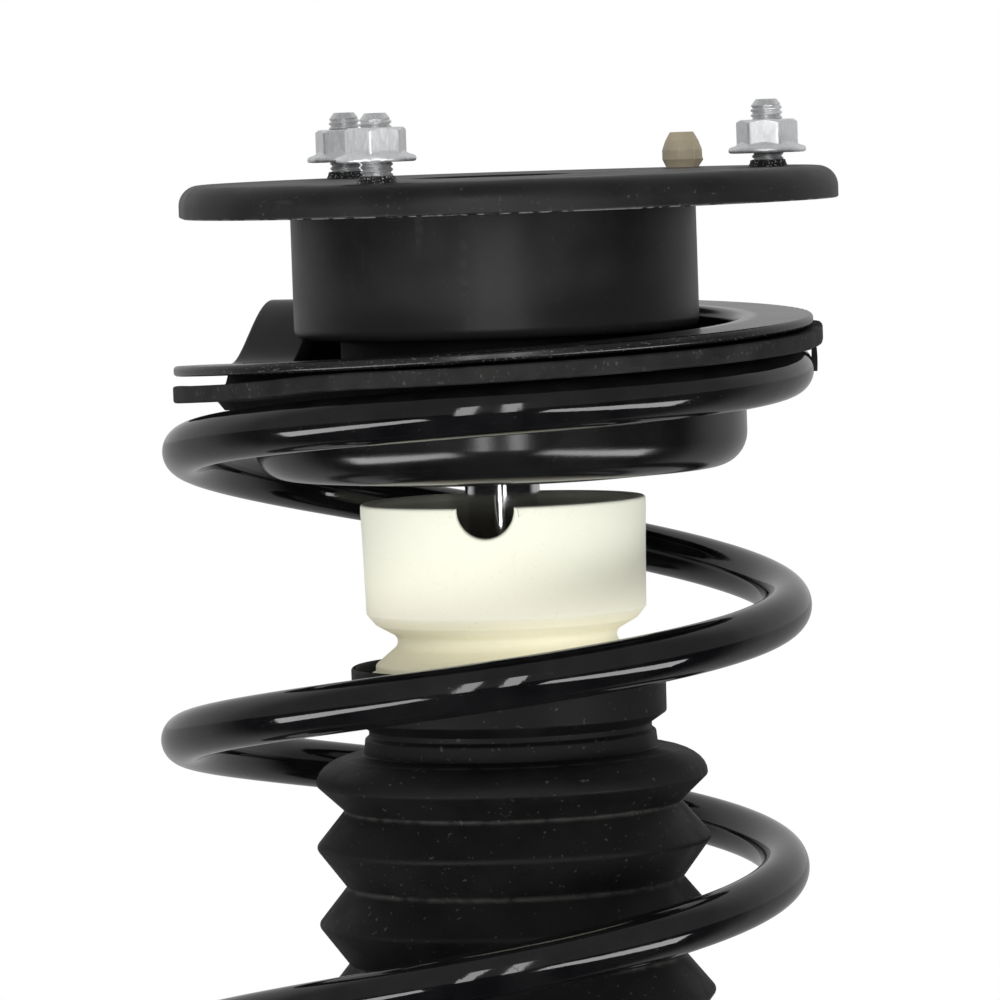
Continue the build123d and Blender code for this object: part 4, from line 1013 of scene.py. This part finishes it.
def softbox(name, centre, aim, width, height, radiance):
    """A soft rectangle of light of that radiance, facing the point aim."""
    data = bpy.data.lights.new(name, "AREA")
    data.shape, data.size, data.size_y = "RECTANGLE", width, height
    data.energy = radiance * np.pi * width * height
    piece = bpy.data.objects.new(name, data)
    bpy.context.scene.collection.objects.link(piece)
    piece.location = centre
    piece.rotation_mode = "QUATERNION"
    piece.rotation_quaternion = (Vector(aim) - Vector(centre)).to_track_quat("-Z", "Y")
    piece.visible_camera = False
    return piece


def lamps():
    """Two upright strips beside the camera and one long low strip on each side."""
    middle = (0, 0, -0.12)
    softbox("strip_left", (-0.250, -1.75, 0.22), middle, 0.20, 1.1, 6.0)
    softbox("strip_right", (0.225, -1.75, 0.22), middle, 0.20, 1.1, 6.3)
    softbox("low_left", (-0.72, -0.86, -0.46), (-0.04, -0.72, -0.1), 1.3, 0.26, 7.0)
    softbox("low_right", (0.70, -0.88, -0.50), (0.04, -0.72, -0.1), 1.3, 0.26, 7.0)


def world():
    """White backdrop for the eye; shiny surfaces see it behind the strut, grey above and dark in front."""
    space = bpy.data.worlds.new("studio")
    bpy.context.scene.world = space
    tree = Tree(space)
    way = tree.node("ShaderNodeTexCoord", output="Generated")
    back = tree.node("ShaderNodeSeparateXYZ", {}, {0: way}, output="Y")
    behind = back.between(0.0, 0.5, 0.0, 0.45)
    above = back.twin("Z").between(-0.02, 0.03, 0.01, 0.30)
    seen = behind + (1 - behind) * above
    eye = tree.node("ShaderNodeLightPath", output="Is Camera Ray")
    shiny, clear = eye.twin("Is Glossy Ray"), eye.twin("Is Transmission Ray")
    plain_light = 0.68
    strength = eye + (1 - eye) * (shiny * seen + clear + (1 - shiny) * (1 - clear) * plain_light)
    ground = tree.node("ShaderNodeBackground", {}, {0: (1, 1, 1, 1), 1: strength})
    tree.node("ShaderNodeOutputWorld", {}, {0: ground})


def floor():
    """Pale round floor under the tube's foot. Seen directly, it fades into the backdrop by its distance from
    the origin, less its depth."""
    depth = 1 * MM - cad_box[0].z
    rings = np.array([0.0, 0.3, 0.6, 1.0, 1.6])[:, None]
    piece = surface("floor", round_axis(rings, circle_angles(96), -depth))
    finish = Finish("pale_floor", {"Base Color": (0.80, 0.80, 0.80, 1), "Roughness": 0.9})
    away = finish.node("ShaderNodeVectorMath", {"operation": "LENGTH"}, {0: finish.place}, output="Value")
    eye = finish.node("ShaderNodeLightPath", output="Is Camera Ray")
    glow = finish.node("ShaderNodeEmission", {}, {0: (1, 1, 1, 1), 1: 1.0})
    share = eye * (away - depth).between(0.03, 0.32, 0.30, 1.0)
    both = finish.node("ShaderNodeMixShader", {}, {0: share, 1: finish.shader, 2: glow})
    finish.links.new(both.output, finish.end.inputs[0])
    piece.data.materials.append(finish.material)
    piece.visible_glossy = False


# ---- put together -----------------------------------------------------------------------------
camera()
lamps()
world()
floor()
bpy.context.scene.view_settings.view_transform = "Standard"

black, can_black, seat_black = plate_paint(), can_paint(), seat_paint()
gloss, rubber, boot, cream = spring_paint(), rubber_skin(), boot_skin(), foam_skin()
zinc, stud_steel = zinc_plate(), stud_metal()
chrome = metal("chrome_rod", (0.78, 0.78, 0.79), (0.70, 0.70, 0.72), 0.07, 700, (1, 1, 6), 0.004)
pin_tan = moulding("pin_plastic", (0.50, 0.43, 0.30), (0.43, 0.37, 0.26), 0.45)
paint = tube_paint()
by_slot = {
    "black_plate": black, "gloss_black": gloss, "zinc": zinc, "stud_steel": stud_steel, "pin_plastic": pin_tan,
    "black_rubber": rubber, "boot_rubber": boot, "cream_foam": cream, "chrome_rod": chrome, "tube_paint": paint,
    "plain_steel": metal("plain_steel", (0.46, 0.46, 0.47), (0.30, 0.30, 0.31), 0.32),
    "bearing_steel": metal(
        "bearing_steel", (0.66, 0.66, 0.67), (0.54, 0.54, 0.55), 0.16, 1200, (1, 1, 4), 0.006),
    "sinter": metal("sinter", (0.30, 0.29, 0.28), (0.17, 0.165, 0.16), 0.5, 1500, (1, 1, 1), 0.06),
    "cage_plastic": moulding("cage_plastic", (0.58, 0.55, 0.44), (0.48, 0.45, 0.35), 0.42),
    "band_plastic": moulding("band_plastic", (0.055, 0.032, 0.022), (0.035, 0.020, 0.014), 0.5),
}
slots = {p["node"]: p["material_slot"] for p in frame["record"]["subparts"]}
for name, node in frame["nodes"].items():
    node.data.materials.clear()
    node.data.materials.append(by_slot[slots[name]])

mount_plate(black)
for number, (turn, low, nut_turn) in enumerate(zip(STUD_TURNS, NUT_LOWS, NUT_TURNS)):
    centre = around_studs(STUD_CIRCLE_R, turn)
    stud(f"stud_{number}", centre, stud_steel)
    flange_nut(f"nut_{number}", centre, low, nut_turn, zinc)
locating_pin(pin_tan)
mount_can(can_black)
upper_seat(seat_black)
upper_isolator(rubber)
torn_tab(rubber)
coil_spring(gloss)
stop = bump_stop(cream)
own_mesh(stop)
dust_boot(boot)
lower_isolator(rubber)
lower_seat(paint)
mount_rubber(rubber)
for joint in WELDS:
    weld(*joint, paint)
